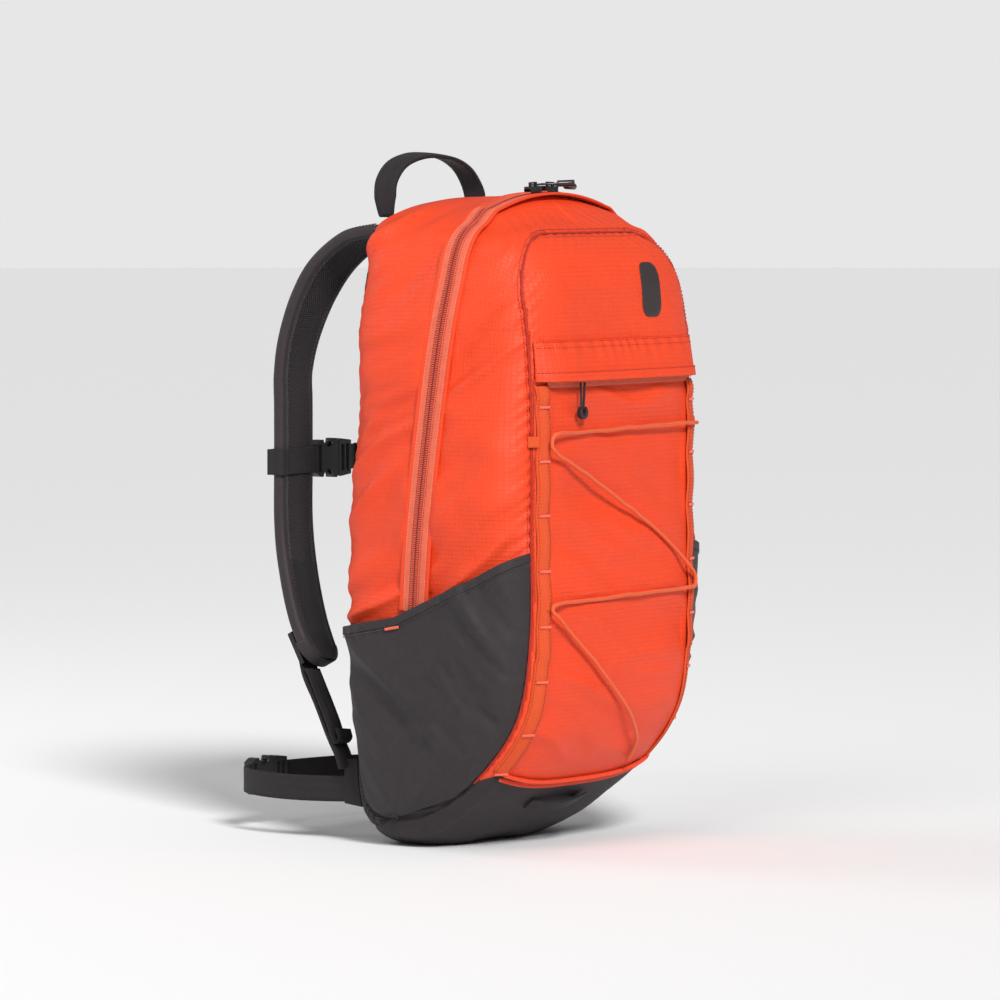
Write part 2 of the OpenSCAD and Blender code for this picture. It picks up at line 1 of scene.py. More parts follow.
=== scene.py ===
"""Looks of the hiking daypack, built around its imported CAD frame.

Shapes are worked out in millimetres in the bag's own frame, which is SEAT_Y in front of
the part's origin; place() turns them into metres in the part's frame. The left-hand piece
of a mirrored pair is the one at negative x.
"""
import json
import math

import bpy
import numpy as np
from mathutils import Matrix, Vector


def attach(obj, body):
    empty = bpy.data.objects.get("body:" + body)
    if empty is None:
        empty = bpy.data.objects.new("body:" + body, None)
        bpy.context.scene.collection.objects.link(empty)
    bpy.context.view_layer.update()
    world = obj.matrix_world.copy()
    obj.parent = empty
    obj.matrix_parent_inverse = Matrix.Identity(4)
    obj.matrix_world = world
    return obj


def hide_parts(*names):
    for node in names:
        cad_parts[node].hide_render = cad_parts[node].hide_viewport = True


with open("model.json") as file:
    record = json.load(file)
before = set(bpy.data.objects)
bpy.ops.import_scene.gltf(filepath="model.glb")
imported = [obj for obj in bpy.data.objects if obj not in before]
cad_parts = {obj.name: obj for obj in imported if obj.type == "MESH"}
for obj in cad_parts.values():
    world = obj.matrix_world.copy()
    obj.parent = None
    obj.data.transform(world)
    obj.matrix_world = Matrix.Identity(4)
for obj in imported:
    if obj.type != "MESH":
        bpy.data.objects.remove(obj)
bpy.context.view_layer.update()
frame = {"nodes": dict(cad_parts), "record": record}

# ---- driving sizes, in millimetres, as in the CAD model ----
BAG_H = 499
HALF_W = 126
HALF_D = 96
SEAT_Y = 48
LAY = 1.0
WEB_W = 20
WEB_T = 1.4
STRAP_W = 52
STRAP_TWIST = 12
FRONT_HALF, FRONT_TOP, FRONT_ROUND = 103, 473, 52
BACK_HALF, BACK_TOP, BACK_ROUND = 102, 462, 24
POCKET_EDGE_X = 104
POCKET_ZIP_Z = 366
FLAP_HALF, FLAP_LOW, FLAP_HIGH = 101, 361, 392
ARCH_R, ARCH_TOP, ARCH_Y = 215, 501.5, -20
ARCH_STAND = 4.8       # height of the main zip's arch over the smooth body, at the top
DAISY_X, DAISY_W = 95, 13
BARTACK_Z = [342, 301, 260, 218, 176, 134, 93, 62]
ANCHOR_X = 90
BADGE_X, BADGE_Z = 44, 428
BADGE_HALF_W, BADGE_HALF_H = 12.5, 21.0
BUNGEE_R = 1.5
PIPING_HALF = 92
BELT_Z = 41
HANDLE_FOOT_Z, HANDLE_RISE = 483, 46

# Bag profile, from bottom to top: share of its height, of its half width, of its half depth
# in front and behind, and the squareness of the ring.
PROFILE = [
    [0.000, 0.55, -0.22, 0.80, 2.8], [0.006, 0.64, -0.15, 0.88, 2.9], [0.024, 0.75, 0.02, 0.97, 3.1],
    [0.060, 0.84, 0.26, 1.02, 3.5], [0.120, 0.89, 0.63, 1.03, 4.0], [0.210, 0.92, 0.95, 1.00, 4.5],
    [0.340, 0.96, 1.02, 1.00, 5.0], [0.500, 1.00, 1.00, 0.99, 5.0], [0.680, 0.99, 1.00, 0.91, 5.0],
    [0.812, 0.955, 0.97, 0.90, 5.0], [0.892, 0.885, 0.92, 0.91, 4.6], [0.945, 0.775, 0.70, 0.93, 4.1],
    [0.978, 0.54, 0.38, 0.84, 3.4], [0.994, 0.30, 0.20, 0.60, 2.7], [1.000, 0.05, 0.02, 0.20, 2.2]]
# Heights of the boot seam and of the side pocket's hem, as (y, z) along the side.
BOOT_LINE = [[-130, 47], [-74, 50], [-56, 60], [0, 38], [60, 17], [110, 6]]
HEM_LINE = [[-90, 232], [-50, 210], [20, 177], [90, 164]]
# Middle of the left shoulder strap, and its width as a share of STRAP_W.
STRAP_LINE = [
    [-42, 93, 473], [-45, 119, 467], [-49, 146, 447], [-53, 163, 421], [-57, 174, 390],
    [-60, 178, 362], [-60, 178, 336], [-60, 178, 292], [-60, 178, 244], [-64, 170, 206],
    [-69, 156, 168], [-73, 138, 137]]
STRAP_TAPER = [1.12, 1.12, 1.1, 1.06, 1.02, 1, 1, 1, 1, 0.98, 0.94, 0.82]
# Bungee's route as x, z and its gap over the smooth front.
BUNGEE_ROUTE = [
    [96, 324, 5], [60, 324, 1.5], [0, 323, 1.5], [-60, 322, 1.5], [-86, 322, 5], [-92, 319, 5],
    [-93, 313, 5], [-90, 309, 5], [-78, 303, 2], [-50, 290, 1.5], [-20, 275, 1.5],
    [12, 259, 1.5], [42, 243, 1.5], [66, 227, 1.5], [82, 213, 4.5], [90, 206, 5], [91, 200, 5],
    [86, 197, 5], [60, 196, 1.5], [0, 195, 1.5], [-60, 194, 1.5], [-86, 194, 5], [-93, 192, 5],
    [-93, 188, 5], [-88, 184, 5], [-70, 170, 1.5], [-44, 150, 1.5], [-16, 127, 1.5],
    [10, 106, 1.5], [31, 89, 1.5], [44, 76, 1.5], [51, 63, 1.2]]
# Grab handle as x, y and its share of the rise over its feet.
HANDLE_ROUTE = [
    [-57, 87, 0.0], [-60, 88, 0.3], [-57, 90, 0.6], [-42, 92, 0.85], [-18, 93, 0.98],
    [6, 93, 1.0], [30, 92, 0.94], [48, 91, 0.78], [58, 90, 0.54], [60, 88, 0.28], [57, 87, 0.0]]
# Hip webbing from above, as x and y, and the left adjuster webbing with its loose tail.
HIP_ROUTES = {
    "left": [[-90, 100], [-90, 107], [-93, 124], [-95, 147], [-93, 172], [-87, 196], [-78, 213], [-66, 220]],
    "right": [[90, 100], [90, 107], [94, 126], [95, 151], [88, 177], [72, 200], [46, 215], [10, 220],
              [-20, 220]]}
ADJUSTER_LINE = [
    [-ANCHOR_X, 99.5, 58], [-ANCHOR_X, 104, 69], [-87, 114, 82], [-81, 131, 106], [-77, 145, 125],
    [-73, 152.5, 139]]
TAIL_LINE = [
    [-78, 147, 132], [-80, 137, 116], [-84, 127, 103], [-87, 119, 92], [-88, 114, 82],
    [-88.5, 110, 77], [-88.5, 106, 81], [-87.5, 109, 88]]

CELL = 1.9     # size of the shell's faces


# ---- numbers ----

def place(points):
    """Millimetres in the bag's frame to metres in the part's frame."""
    return (np.asarray(points, float) - [0, SEAT_Y, 0]) / 1000


def curve(rows, t):
    """Smooth curve through rows of numbers; whole values of t are the rows."""
    rows = np.asarray(rows, float)
    t = np.atleast_1d(np.asarray(t, float))
    last = len(rows) - 1
    i = np.clip(np.floor(t).astype(int), 0, last - 1)
    f = (t - i)[:, None]
    a, b = rows[np.maximum(i - 1, 0)], rows[i]
    c, d = rows[i + 1], rows[np.minimum(i + 2, last)]
    return 0.5 * (2 * b + (c - a) * f + (2 * a - 5 * b + 4 * c - d) * f ** 2
                  + (3 * b - a - 3 * c + d) * f ** 3)


def smooth(rows, steps):
    return curve(rows, np.arange((len(rows) - 1) * steps + 1) / steps)


def unit(v):
    v = np.asarray(v, float)
    return v / np.maximum(np.linalg.norm(v, axis=-1, keepdims=True), 1e-9)


def squared(value, power):
    """Power of a value's size, with its sign kept."""
    return np.sign(value) * np.abs(value) ** power


def hump(gap, reach, power=2):
    """1 where the gap is 0, falling to 0 beyond the reach."""
    return np.exp(-(gap / reach) ** power)


def lengths(path):
    steps = np.linalg.norm(np.diff(path, axis=0), axis=-1)
    return np.concatenate([[0], np.cumsum(steps)])


def sample(values, distance, at):
    """Rows of values, known at the given distances, at other distances."""
    values = np.asarray(values)
    return np.stack([np.interp(at, distance, column) for column in values.T], -1)


def resample(path, step):
    distance = lengths(path)
    count = max(2, int(round(distance[-1] / step)) + 1)
    return sample(path, distance, np.linspace(0, distance[-1], count))


LATTICE = np.random.RandomState(11).rand(64, 64, 64)


def noise(points, *scale):
    """Smooth noise from -1 to 1; scale gives the size of its features on each axis, in mm."""
    p = np.asarray(points, float) / np.asarray(scale, float)
    cell = np.floor(p).astype(int)
    f = p - cell
    f = f * f * (3 - 2 * f)
    total = np.zeros(p.shape[:-1])
    for corner in np.ndindex(2, 2, 2):
        weight = np.prod(np.where(np.array(corner), f, 1 - f), axis=-1)
        total += weight * LATTICE[tuple(np.moveaxis((cell + corner) % 64, -1, 0))]
    return 2 * total - 1


def flat_noise(u, v, scale_u, scale_v, layer):
    return noise(np.stack([u, v, np.full_like(u, layer)], -1), scale_u, scale_v, 1)


# ---- the bag's smooth body ----

T_TABLE = np.linspace(0, len(PROFILE) - 1, 6001)
ROW_TABLE = curve(PROFILE, T_TABLE)
Z_TABLE = np.maximum.accumulate(ROW_TABLE[:, 0] * BAG_H)


def section(z):
    """Half width, middle depth, half depth and squareness of the bag at height z."""
    row = [np.interp(z, Z_TABLE, ROW_TABLE[:, k]) for k in range(1, 5)]
    front, back = -row[1] * HALF_D, row[2] * HALF_D
    return row[0] * HALF_W, (front + back) / 2, (back - front) / 2, row[3]


def rest_of(share, n):
    return np.maximum(0, 1 - np.minimum(1, np.abs(share)) ** n) ** (1 / n)


def front_y(x, z, off=0.0):
    a, mid, deep, n = section(z)
    return mid - (deep + off) * rest_of(x / (a + off), n)


def back_y(x, z, off=0.0):
    a, mid, deep, n = section(z)
    return mid + (deep + off) * rest_of(x / (a + off), n)


def side_x(y, z, off=0.0):
    a, mid, deep, n = section(z)
    return (a + off) * rest_of((y - mid) / (deep + off), n)


def on_front(x, z, off):
    """Places in front of the smooth body, at a gap from it."""
    return np.stack([x, front_y(x, z, off), z], -1)


def piping_z(x):
    """Height of the piped seam between the front pocket and the boot."""
    return 51 + 10 * (np.abs(x) / PIPING_HALF) ** 3


def line_z(line, y):
    line = np.asarray(line, float)
    return np.interp(y, line[:, 0], line[:, 1])


def zip_y(z):
    """Depth of the main zip's middle, which leans back below the shoulder."""
    return np.where(z > 430, ARCH_Y, ARCH_Y + (430 - z) * 0.12)


# ---- meshes ----


def add_piece(name, points, faces, uv, look, body="bag", nodes=()):
    """Piece from points in the bag's frame; uv has one (u, v) in metres for each point."""
    mesh = bpy.data.meshes.new(name)
    points = np.asarray(points, float).reshape(-1, 3)
    mesh.from_pydata(place(points).tolist(), [], [list(map(int, face)) for face in faces])
    mesh.validate()
    if uv is not None:
        layer = mesh.uv_layers.new(name="fabric")
        index = np.zeros(len(mesh.loops), int)
        mesh.loops.foreach_get("vertex_index", index)
        layer.data.foreach_set("uv", np.asarray(uv, float).reshape(-1, 2)[index].ravel())
    mesh.polygons.foreach_set("use_smooth", [True] * len(mesh.polygons))
    mesh.update()
    mesh.materials.append(MATERIALS[look])
    thing = bpy.data.objects.new(name, mesh)
    bpy.context.scene.collection.objects.link(thing)
    if nodes:
        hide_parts(*nodes)
    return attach(thing, body)


def grid_faces(rows, columns, closed=False):
    r, c = np.meshgrid(np.arange(rows - 1), np.arange(columns if closed else columns - 1), indexing="ij")
    a = r * columns + c
    b = r * columns + (c + 1) % columns
    return np.stack([a, b, b + columns, a + columns], -1).reshape(-1, 4)


def grid_normals(grid):
    return unit(np.cross(np.gradient(grid, axis=1), np.gradient(grid, axis=0)))


def cloth(name, grid, thickness, uv, look, nodes=()):
    """Closed sheet whose outer side is the grid; its normals follow across x along."""
    rows, columns = grid.shape[:2]
    count = rows * columns
    inner = grid - grid_normals(grid) * thickness
    outer_faces = grid_faces(rows, columns)
    near, far = np.arange(columns - 1), columns * np.arange(rows - 1)
    border = np.concatenate([near, columns - 1 + far, count - 1 - near, columns * (rows - 1) - far])
    following = np.roll(border, -1)
    rim = np.stack([border, border + count, following + count, following], -1)
    faces = np.concatenate([outer_faces, outer_faces[:, ::-1] + count, rim])
    return add_piece(name, [grid, inner], faces, [uv, uv], look, "bag", nodes)


def frames(path, across_hint):
    """Unit directions along, across and out of a path."""
    path = np.asarray(path, float)
    along = unit(np.gradient(path, axis=0))
    hint = np.broadcast_to(np.asarray(across_hint, float), path.shape)
    across = unit(hint - (hint * along).sum(-1, keepdims=True) * along)
    return along, across, np.cross(along, across)


def loft(name, path, across_hint, sections, look, body="bag", nodes=()):
    """Solid swept along a path; sections is one ring of (across, out) points, or one for each place."""
    path = np.asarray(path, float)
    _, across, out = frames(path, across_hint)
    sections = np.asarray(sections, float)
    if sections.ndim == 2:
        sections = np.broadcast_to(sections, (len(path),) + sections.shape)
    m, n = sections.shape[:2]
    rings = path[:, None] + across[:, None] * sections[..., :1] + out[:, None] * sections[..., 1:2]
    faces = grid_faces(m, n, True)[:, ::-1].tolist()
    faces += [list(range(n)), list(range(m * n - 1, (m - 1) * n - 1, -1))]
    u = np.broadcast_to(lengths(sections[0]), (m, n))
    v = np.broadcast_to(lengths(path)[:, None], (m, n))
    return add_piece(name, rings, faces, np.stack([u, v], -1) / 1000, look, body, nodes)


def ring(radius, sides):
    angle = np.arange(sides) * 2 * math.pi / sides
    return np.stack([radius * np.cos(angle), radius * np.sin(angle)], -1)


def band_section(width, low, high, edge=0.35):
    """Flat webbing section with rounded edges and enough points across to take a weave."""
    half = width / 2
    across = np.linspace(-half + edge, half - edge, 9)
    bottom = np.stack([across, np.full(9, low)], -1)
    top = np.stack([across[::-1], np.full(9, high)], -1)
    middle = (low + high) / 2
    return np.concatenate([bottom, [[half, middle]], top, [[-half, middle]]])


def stitch_shape(length, width, height):
    """A thread lying on cloth: a low hexagonal bead, pointed at both ends."""
    half = length / 2
    rings = []
    for x, share in ((-half, 0.35), (-half * 0.55, 1.0), (half * 0.55, 1.0), (half, 0.35)):
        for angle in range(6):
            turn = math.radians(60 * angle)
            rings.append([x, width / 2 * share * math.cos(turn), height * share * math.sin(turn)])
    faces = grid_faces(4, 6, True).tolist()
    faces += [[5, 4, 1, 0], [4, 3, 2, 1], [18, 19, 22, 23], [19, 20, 21, 22]]
    return np.array(rings), np.array(faces)


def beads(name, size, spots, directions, outs, look, body="bag", nodes=()):
    """Many stitches as one piece; size is the length, width and height of each."""
    template, faces = stitch_shape(*size)
    spots, directions, outs = (np.asarray(rows, float)[:, None] for rows in (spots, directions, outs))
    points = (spots + template[None, :, :1] * directions
              + template[None, :, 1:2] * np.cross(outs, directions) + template[None, :, 2:3] * outs)
    shift = (np.arange(len(spots)) * len(template))[:, None, None]
    return add_piece(name, points, (faces[None] + shift).reshape(-1, 4), None, look, body, nodes)


def stitch_line(name, path, out, look, pitch, size, body="bag"):
    """A run of stitches along a path that already lies on the cloth."""
    path = np.asarray(path, float)
    distance = lengths(path)
    at = np.arange(pitch, distance[-1] - pitch / 2, pitch)
    directions = unit(sample(unit(np.gradient(path, axis=0)), distance, at))
    outs = sample(out, distance, at)
    outs = unit(outs - (outs * directions).sum(-1, keepdims=True) * directions)
    return beads(name, size, sample(path, distance, at), directions, outs, look, body)


# ---- materials ----

class Shader:
    """A new procedural material and the few node helpers that the recipes below need."""

    def __init__(self, name, colour, roughness, sheen=0.0, specular=0.5, metallic=0.0):
        self.material = bpy.data.materials.new(name)
        self.material.use_nodes = True
        self.material.diffuse_color = (*colour, 1)
        self.nodes = self.material.node_tree.nodes
        self.links = self.material.node_tree.links
        self.out = self.nodes["Principled BSDF"]
        self.set("Base Color", (*colour, 1))
        self.set("Roughness", roughness)
        self.set("Metallic", metallic)
        self.set("Specular IOR Level", specular)
        self.set("Sheen Weight", sheen)
        self.set("Sheen Roughness", 0.4)

    def set(self, socket, value):
        self.out.inputs[socket].default_value = value

    def math(self, kind, a, b=None):
        node = self.nodes.new("ShaderNodeMath")
        node.operation = kind
        for socket, value in zip(node.inputs, (a, b)):
            if value is None:
                continue
            if isinstance(value, (int, float)):
                socket.default_value = value
            else:
                self.links.new(value, socket)
        return node.outputs[0]

    def add(self, a, b):
        return self.math("ADD", a, b)

    def times(self, a, b):
        return self.math("MULTIPLY", a, b)

    def uv(self):
        node = self.nodes.new("ShaderNodeUVMap")
        node.uv_map = "fabric"
        split = self.nodes.new("ShaderNodeSeparateXYZ")
        self.links.new(node.outputs[0], split.inputs[0])
        return split.outputs[0], split.outputs[1]

    def noise(self, scale, detail):
        place_node = self.nodes.new("ShaderNodeTexCoord")
        node = self.nodes.new("ShaderNodeTexNoise")
        node.inputs["Scale"].default_value = scale
        node.inputs["Detail"].default_value = detail
        self.links.new(place_node.outputs["Object"], node.inputs["Vector"])
        return node.outputs["Fac"]

    def wave(self, coordinate, pitch):
        """Runs from 0 to 1 and back once for each pitch, in metres."""
        turn = self.times(coordinate, 2 * math.pi / pitch)
        return self.add(self.times(self.math("SINE", turn), 0.5), 0.5)

    def weave(self, u, v, pitch, pitch_v=None):
        return self.times(self.wave(u, pitch), self.wave(v, pitch_v or pitch))

    def ridge(self, coordinate, pitch, sharp):
        """Thin ridges, one for each pitch: 1 on the ridge and near 0 between."""
        return self.math("POWER", self.wave(coordinate, pitch), sharp)

    def mix(self, factor, first, second):
        node = self.nodes.new("ShaderNodeMix")
        node.data_type = "RGBA"
        self.links.new(factor, node.inputs["Factor"])
        for socket, value in ((node.inputs["A"], first), (node.inputs["B"], second)):
            if isinstance(value, tuple):
                socket.default_value = (*value, 1)
            else:
                self.links.new(value, socket)
        return node.outputs["Result"]

    def colour(self, value):
        self.links.new(value, self.out.inputs["Base Color"])

    def uneven_roughness(self, scale, detail, spread, low):
        value = self.add(self.times(self.noise(scale, detail), spread), low)
        self.links.new(value, self.out.inputs["Roughness"])

    def bump(self, height, distance):
        node = self.nodes.new("ShaderNodeBump")
        node.inputs["Strength"].default_value = 1
        node.inputs["Distance"].default_value = distance
        self.links.new(height, node.inputs["Height"])
        if self.out.inputs["Normal"].is_linked:
            self.links.new(self.out.inputs["Normal"].links[0].from_socket, node.inputs["Normal"])
        self.links.new(node.outputs["Normal"], self.out.inputs["Normal"])


def shade(colour, factor):
    return tuple(min(1.0, c * factor) for c in colour)


ORANGE = (0.82, 0.062, 0.015)


def ripstop(name, colour=ORANGE):
    """Light coated nylon with a raised grid of heavier threads."""
    grid_pitch, thread_pitch = 0.0034, 0.00055
    s = Shader(name, colour, 0.46, specular=0.3)
    u, v = s.uv()
    grid = s.math("MAXIMUM", s.ridge(u, grid_pitch, 14), s.ridge(v, grid_pitch, 14))
    toned = s.mix(s.noise(9, 3), shade(colour, 0.90), shade(colour, 1.06))
    s.colour(s.mix(s.times(grid, 0.35), toned, shade(colour, 0.80)))
    s.bump(s.weave(u, v, thread_pitch), 0.00006)
    s.bump(grid, 0.00016)
    s.bump(s.noise(55, 4), 0.0009)
    return s.material


def plain_weave(name, colour, roughness, pitch, depth, sheen=0.05):
    """Woven or knitted cloth whose threads cross at the given pitch, in metres."""
    s = Shader(name, colour, roughness, sheen, 0.2)
    weave = s.weave(*s.uv(), pitch)
    # Tone mixes random noise, the cloth's own uneven tone, with the weave's height: painted shade where the
    # threads dip, lighter where they cross on top.
    tone = s.times(s.add(weave, s.noise(160, 3)), 0.5)
    s.colour(s.mix(tone, shade(colour, 0.72), shade(colour, 1.35)))
    s.bump(weave, depth)
    s.bump(s.noise(70, 3), 0.0004)
    return s.material


def spacer_mesh(name, colour, light):
    """Padded mesh with open cells in staggered rows."""
    pitch, sharp = 0.0032, 2
    pitch_v = pitch * 1.15
    s = Shader(name, colour, 0.8, 0.04, 0.15)
    u, v = s.uv()
    rows = []
    for shift_u, shift_v in ((0, 0), (pitch / 2, pitch_v / 2)):
        across = s.ridge(s.add(u, shift_u), pitch, sharp)
        rows.append(s.times(across, s.ridge(s.add(v, shift_v), pitch_v, sharp)))
    cells = s.math("MAXIMUM", *rows)
    s.colour(s.mix(cells, colour, light))
    s.bump(cells, -0.0007)
    return s.material


def herringbone(name, colour, roughness=0.6, pitch=0.0016, sheen=0.04):
    """Webbing with slanted ribs that turn over at its centre line."""
    s = Shader(name, colour, roughness, sheen, 0.2)
    u, v = s.uv()
    ribs = s.wave(s.add(v, s.math("PINGPONG", u, 0.0036)), pitch)
    height = s.add(s.times(ribs, 0.75), s.times(s.wave(u, 0.0009), 0.25))
    # Colour follows the ribs' height: painted shade in the hollows between ribs, painted highlight on their
    # crests.
    s.colour(s.mix(height, shade(colour, 0.55), shade(colour, 1.5)))
    s.bump(height, 0.00035)
    return s.material


def braided_cord(name, colour):
    s = Shader(name, colour, 0.5, 0.15, 0.4)
    u, v = s.uv()
    braid = s.weave(s.add(u, v), s.math("SUBTRACT", u, v), 0.0012)
    # Colour follows the braid's height: painted shade between the strands, lighter on their tops.
    s.colour(s.mix(braid, shade(colour, 0.8), shade(colour, 1.12)))
    s.bump(braid, 0.00018)
    return s.material


def moulded(name, colour, roughness):
    s = Shader(name, colour, roughness)
    s.uneven_roughness(260, 2, 0.12, roughness - 0.05)
    s.bump(s.noise(900, 2), 0.00005)
    return s.material


def thread(name, colour):
    s = Shader(name, colour, 0.6, 0.2, 0.3)
    s.bump(s.noise(1500, 2), 0.0001)
    return s.material


def painted_metal(name, colour):
    s = Shader(name, colour, 0.28, specular=0.6, metallic=0.35)
    s.uneven_roughness(400, 3, 0.15, 0.22)
    return s.material


# Each look's recipe, its colour, and what else the recipe takes.
LOOKS = {
    "ripstop": (ripstop, ORANGE),
    "boot_fabric": (plain_weave, (0.034, 0.027, 0.030), 0.6, 0.0009, 0.00018, 0.0),
    "stretch_fabric": (plain_weave, (0.036, 0.030, 0.032), 0.5, 0.00075, 0.00010, 0.03),
    "lining": (plain_weave, (0.35, 0.35, 0.36), 0.7, 0.0006, 0.0001),
    "foam": (moulded, (0.05, 0.05, 0.05), 0.85),
    "spacer_mesh": (spacer_mesh, (0.014, 0.010, 0.011), (0.085, 0.072, 0.074)),
    "strap_fabric": (plain_weave, (0.026, 0.022, 0.025), 0.42, 0.0008, 0.00006, 0.02),
    "binding": (plain_weave, (0.040, 0.032, 0.034), 0.5, 0.0007, 0.00008),
    "webbing": (herringbone, (0.022, 0.018, 0.020)),
    "orange_webbing": (herringbone, (0.84, 0.085, 0.022), 0.55, 0.0013, 0.0),
    "bungee": (braided_cord, (0.92, 0.12, 0.022)),
    "bartack_thread": (thread, (0.78, 0.14, 0.085)),
    "zip_tape": (plain_weave, (0.80, 0.15, 0.085), 0.7, 0.0006, 0.00012),
    "zip_coil": (moulded, (0.66, 0.09, 0.045), 0.45),
    "slider_metal": (painted_metal, (0.02, 0.018, 0.02)),
    "pull_plastic": (moulded, (0.018, 0.016, 0.018), 0.25),
    "buckle_plastic": (moulded, (0.014, 0.012, 0.014), 0.34),
    "badge_print": (moulded, (0.030, 0.020, 0.021), 0.5),
    "seam_thread": (thread, (0.40, 0.022, 0.012)),
    "light_thread": (thread, (0.90, 0.22, 0.12)),
    "dark_thread": (thread, (0.06, 0.052, 0.055)),
    # Storm flap: the body's ripstop with its colour painted 3% darker, as painted shade.
    "flap_fabric": (ripstop, shade(ORANGE, 0.97)),
    "zip_shadow": (moulded, (0.18, 0.012, 0.008), 0.7),
}
MATERIALS = {name: recipe(name, *values) for name, (recipe, *values) in LOOKS.items()}


def give_flat_uv(thing):
    """Box-mapped cloth coordinates for a CAD part that stays in view."""
    mesh = thing.data
    layer = mesh.uv_layers.get("fabric") or mesh.uv_layers.new(name="fabric")
    spots = np.zeros(len(mesh.vertices) * 3)
    mesh.vertices.foreach_get("co", spots)
    spots = spots.reshape(-1, 3)
    index = np.zeros(len(mesh.loops), int)
    mesh.loops.foreach_get("vertex_index", index)
    uv = np.zeros((len(index), 2))
    for face in mesh.polygons:
        axis = int(np.argmax(np.abs(face.normal)))
        keep = [k for k in range(3) if k != axis]
        loops = slice(face.loop_start, face.loop_start + face.loop_total)
        uv[loops] = spots[index[loops]][:, keep]
    layer.data.foreach_set("uv", uv.ravel())


def dress_cad_nodes():
    """Gives every CAD node the material of its slot, and cloth coordinates where it is webbing."""
    for part in frame["record"]["subparts"]:
        thing = frame["nodes"][part["node"]]
        thing.data.materials.clear()
        thing.data.materials.append(MATERIALS[part["material_slot"]])
        if part["node"] in ("sternum_tab_left", "sternum_tab_right", "anchor_wings"):
            give_flat_uv(thing)


def soften(width, *names):
    """Rounds the moulded edges of CAD parts that stay in view; width is in millimetres."""
    for name in names:
        thing = frame["nodes"][name]
        thing.modifiers.new("weld", "WELD").merge_threshold = 0.00001
        bevel = thing.modifiers.new("rounded edges", "BEVEL")
        bevel.width = width / 1000
        bevel.segments = 3
        bevel.limit_method = "ANGLE"
        bevel.angle_limit = math.radians(32)
        bevel.harden_normals = False


def soften_hardware():
    soften(0.9, "ladder_lock_left", "ladder_lock_right")
    soften(0.55, "sternum_socket", "sternum_plug", "hip_socket", "hip_plug")
    soften(0.5, "sternum_arm_upper", "sternum_arm_lower", "hip_arm_upper", "hip_arm_lower")
    soften(0.35, "main_slider_left", "main_slider_right", "pocket_slider")
    soften(0.5, "main_pull_left", "main_pull_right", "pocket_cord_pull")
    soften(0.5, "sternum_tab_left", "sternum_tab_right", "anchor_wings")


# ---- the bag's shell ----

def front_gap(x, z):
    """Distance outside the front panel's outline, negative on the panel."""
    dx, dz = np.abs(x) - (FRONT_HALF - FRONT_ROUND), z - (FRONT_TOP - FRONT_ROUND)
    outside = np.hypot(np.maximum(dx, 0), np.maximum(dz, 0))
    return outside + np.minimum(np.maximum(dx, dz), 0) - FRONT_ROUND


def back_gap(x, z):
    """Distance outside the back panel's outline, whose top corners are cut off."""
    corner = (BACK_HALF + BACK_TOP - BACK_ROUND) / math.sqrt(2)
    slant = (np.abs(x) + z) / math.sqrt(2) - corner
    return np.maximum(np.maximum(np.abs(x) - BACK_HALF, z - BACK_TOP), slant)


def seam_values(points):
    """For each point, its distance to the boot line, front outline, back outline and pocket zip."""
    x, y, z = np.moveaxis(points, -1, 0)
    middle = section(z)[1]
    piping = np.clip((106 - np.abs(x)) / 14, 0, 1) * (y < middle)
    boot = z - (line_z(BOOT_LINE, y) * (1 - piping) + piping_z(x) * piping)
    front = np.where(y < middle, front_gap(x, z), 99.0)
    back = np.where(y > middle, back_gap(x, z), 99.0)
    zip_gap = np.where(front < 0, z - POCKET_ZIP_Z, 99.0)
    return np.stack([boot, front, back, zip_gap], -1)


def shell_grid():
    """Rings of points up the bag, evenly spaced up its sides and around each ring."""
    t = np.linspace(0, len(PROFILE) - 1, 4000)
    rows = curve(PROFILE, t)
    reach = [rows[:, 0] * BAG_H, rows[:, 1] * HALF_W * 0.5, (rows[:, 3] + rows[:, 2]) * HALF_D * 0.3]
    travelled = lengths(np.stack(reach, -1))
    count = int(travelled[-1] / CELL)
    rows = curve(PROFILE, np.interp(np.linspace(0, travelled[-1], count), travelled, t))
    quarter = int(700 / CELL / 4)
    grid = np.zeros((len(rows), 4 * quarter, 3))
    turn = np.linspace(0, 2 * math.pi, 1441)
    for k, row in enumerate(rows):
        front, back = -row[2] * HALF_D, row[3] * HALF_D
        a, mid, deep, n = row[1] * HALF_W, (front + back) / 2, (back - front) / 2, row[4]
        r = (np.abs(np.cos(turn) / a) ** n + np.abs(np.sin(turn) / deep) ** n) ** (-1 / n)
        loop = np.stack([r * np.cos(turn), mid + r * np.sin(turn)], -1)
        distance = lengths(loop)
        stops = distance[::360]
        wanted = [np.linspace(a, b, quarter, endpoint=False) for a, b in zip(stops[:-1], stops[1:])]
        grid[k, :, :2] = sample(loop, distance, np.concatenate(wanted))
        grid[k, :, 2] = row[0] * BAG_H
    return grid


def snap_to_seams(grid):
    """Moves the nearer end of every grid edge that crosses a seam onto the seam."""
    for seam in range(4):
        for axis in (1, 0, 1):
            ahead = np.roll(grid, -1, axis=axis)
            here, there = seam_values(grid)[..., seam], seam_values(ahead)[..., seam]
            crossing = (here * there < 0) & (np.abs(here) < 40) & (np.abs(there) < 40)
            if axis == 0:
                crossing[-1] = False
            share = np.where(crossing, here / np.where(crossing, here - there, 1), 0)
            spot = grid + (ahead - grid) * share[..., None]
            move_there = np.roll(crossing & (share > 0.5), 1, axis=axis)
            grid = np.where((crossing & (share <= 0.5))[..., None], spot, grid)
            grid = np.where(move_there[..., None], np.roll(spot, 1, axis=axis), grid)
    return grid


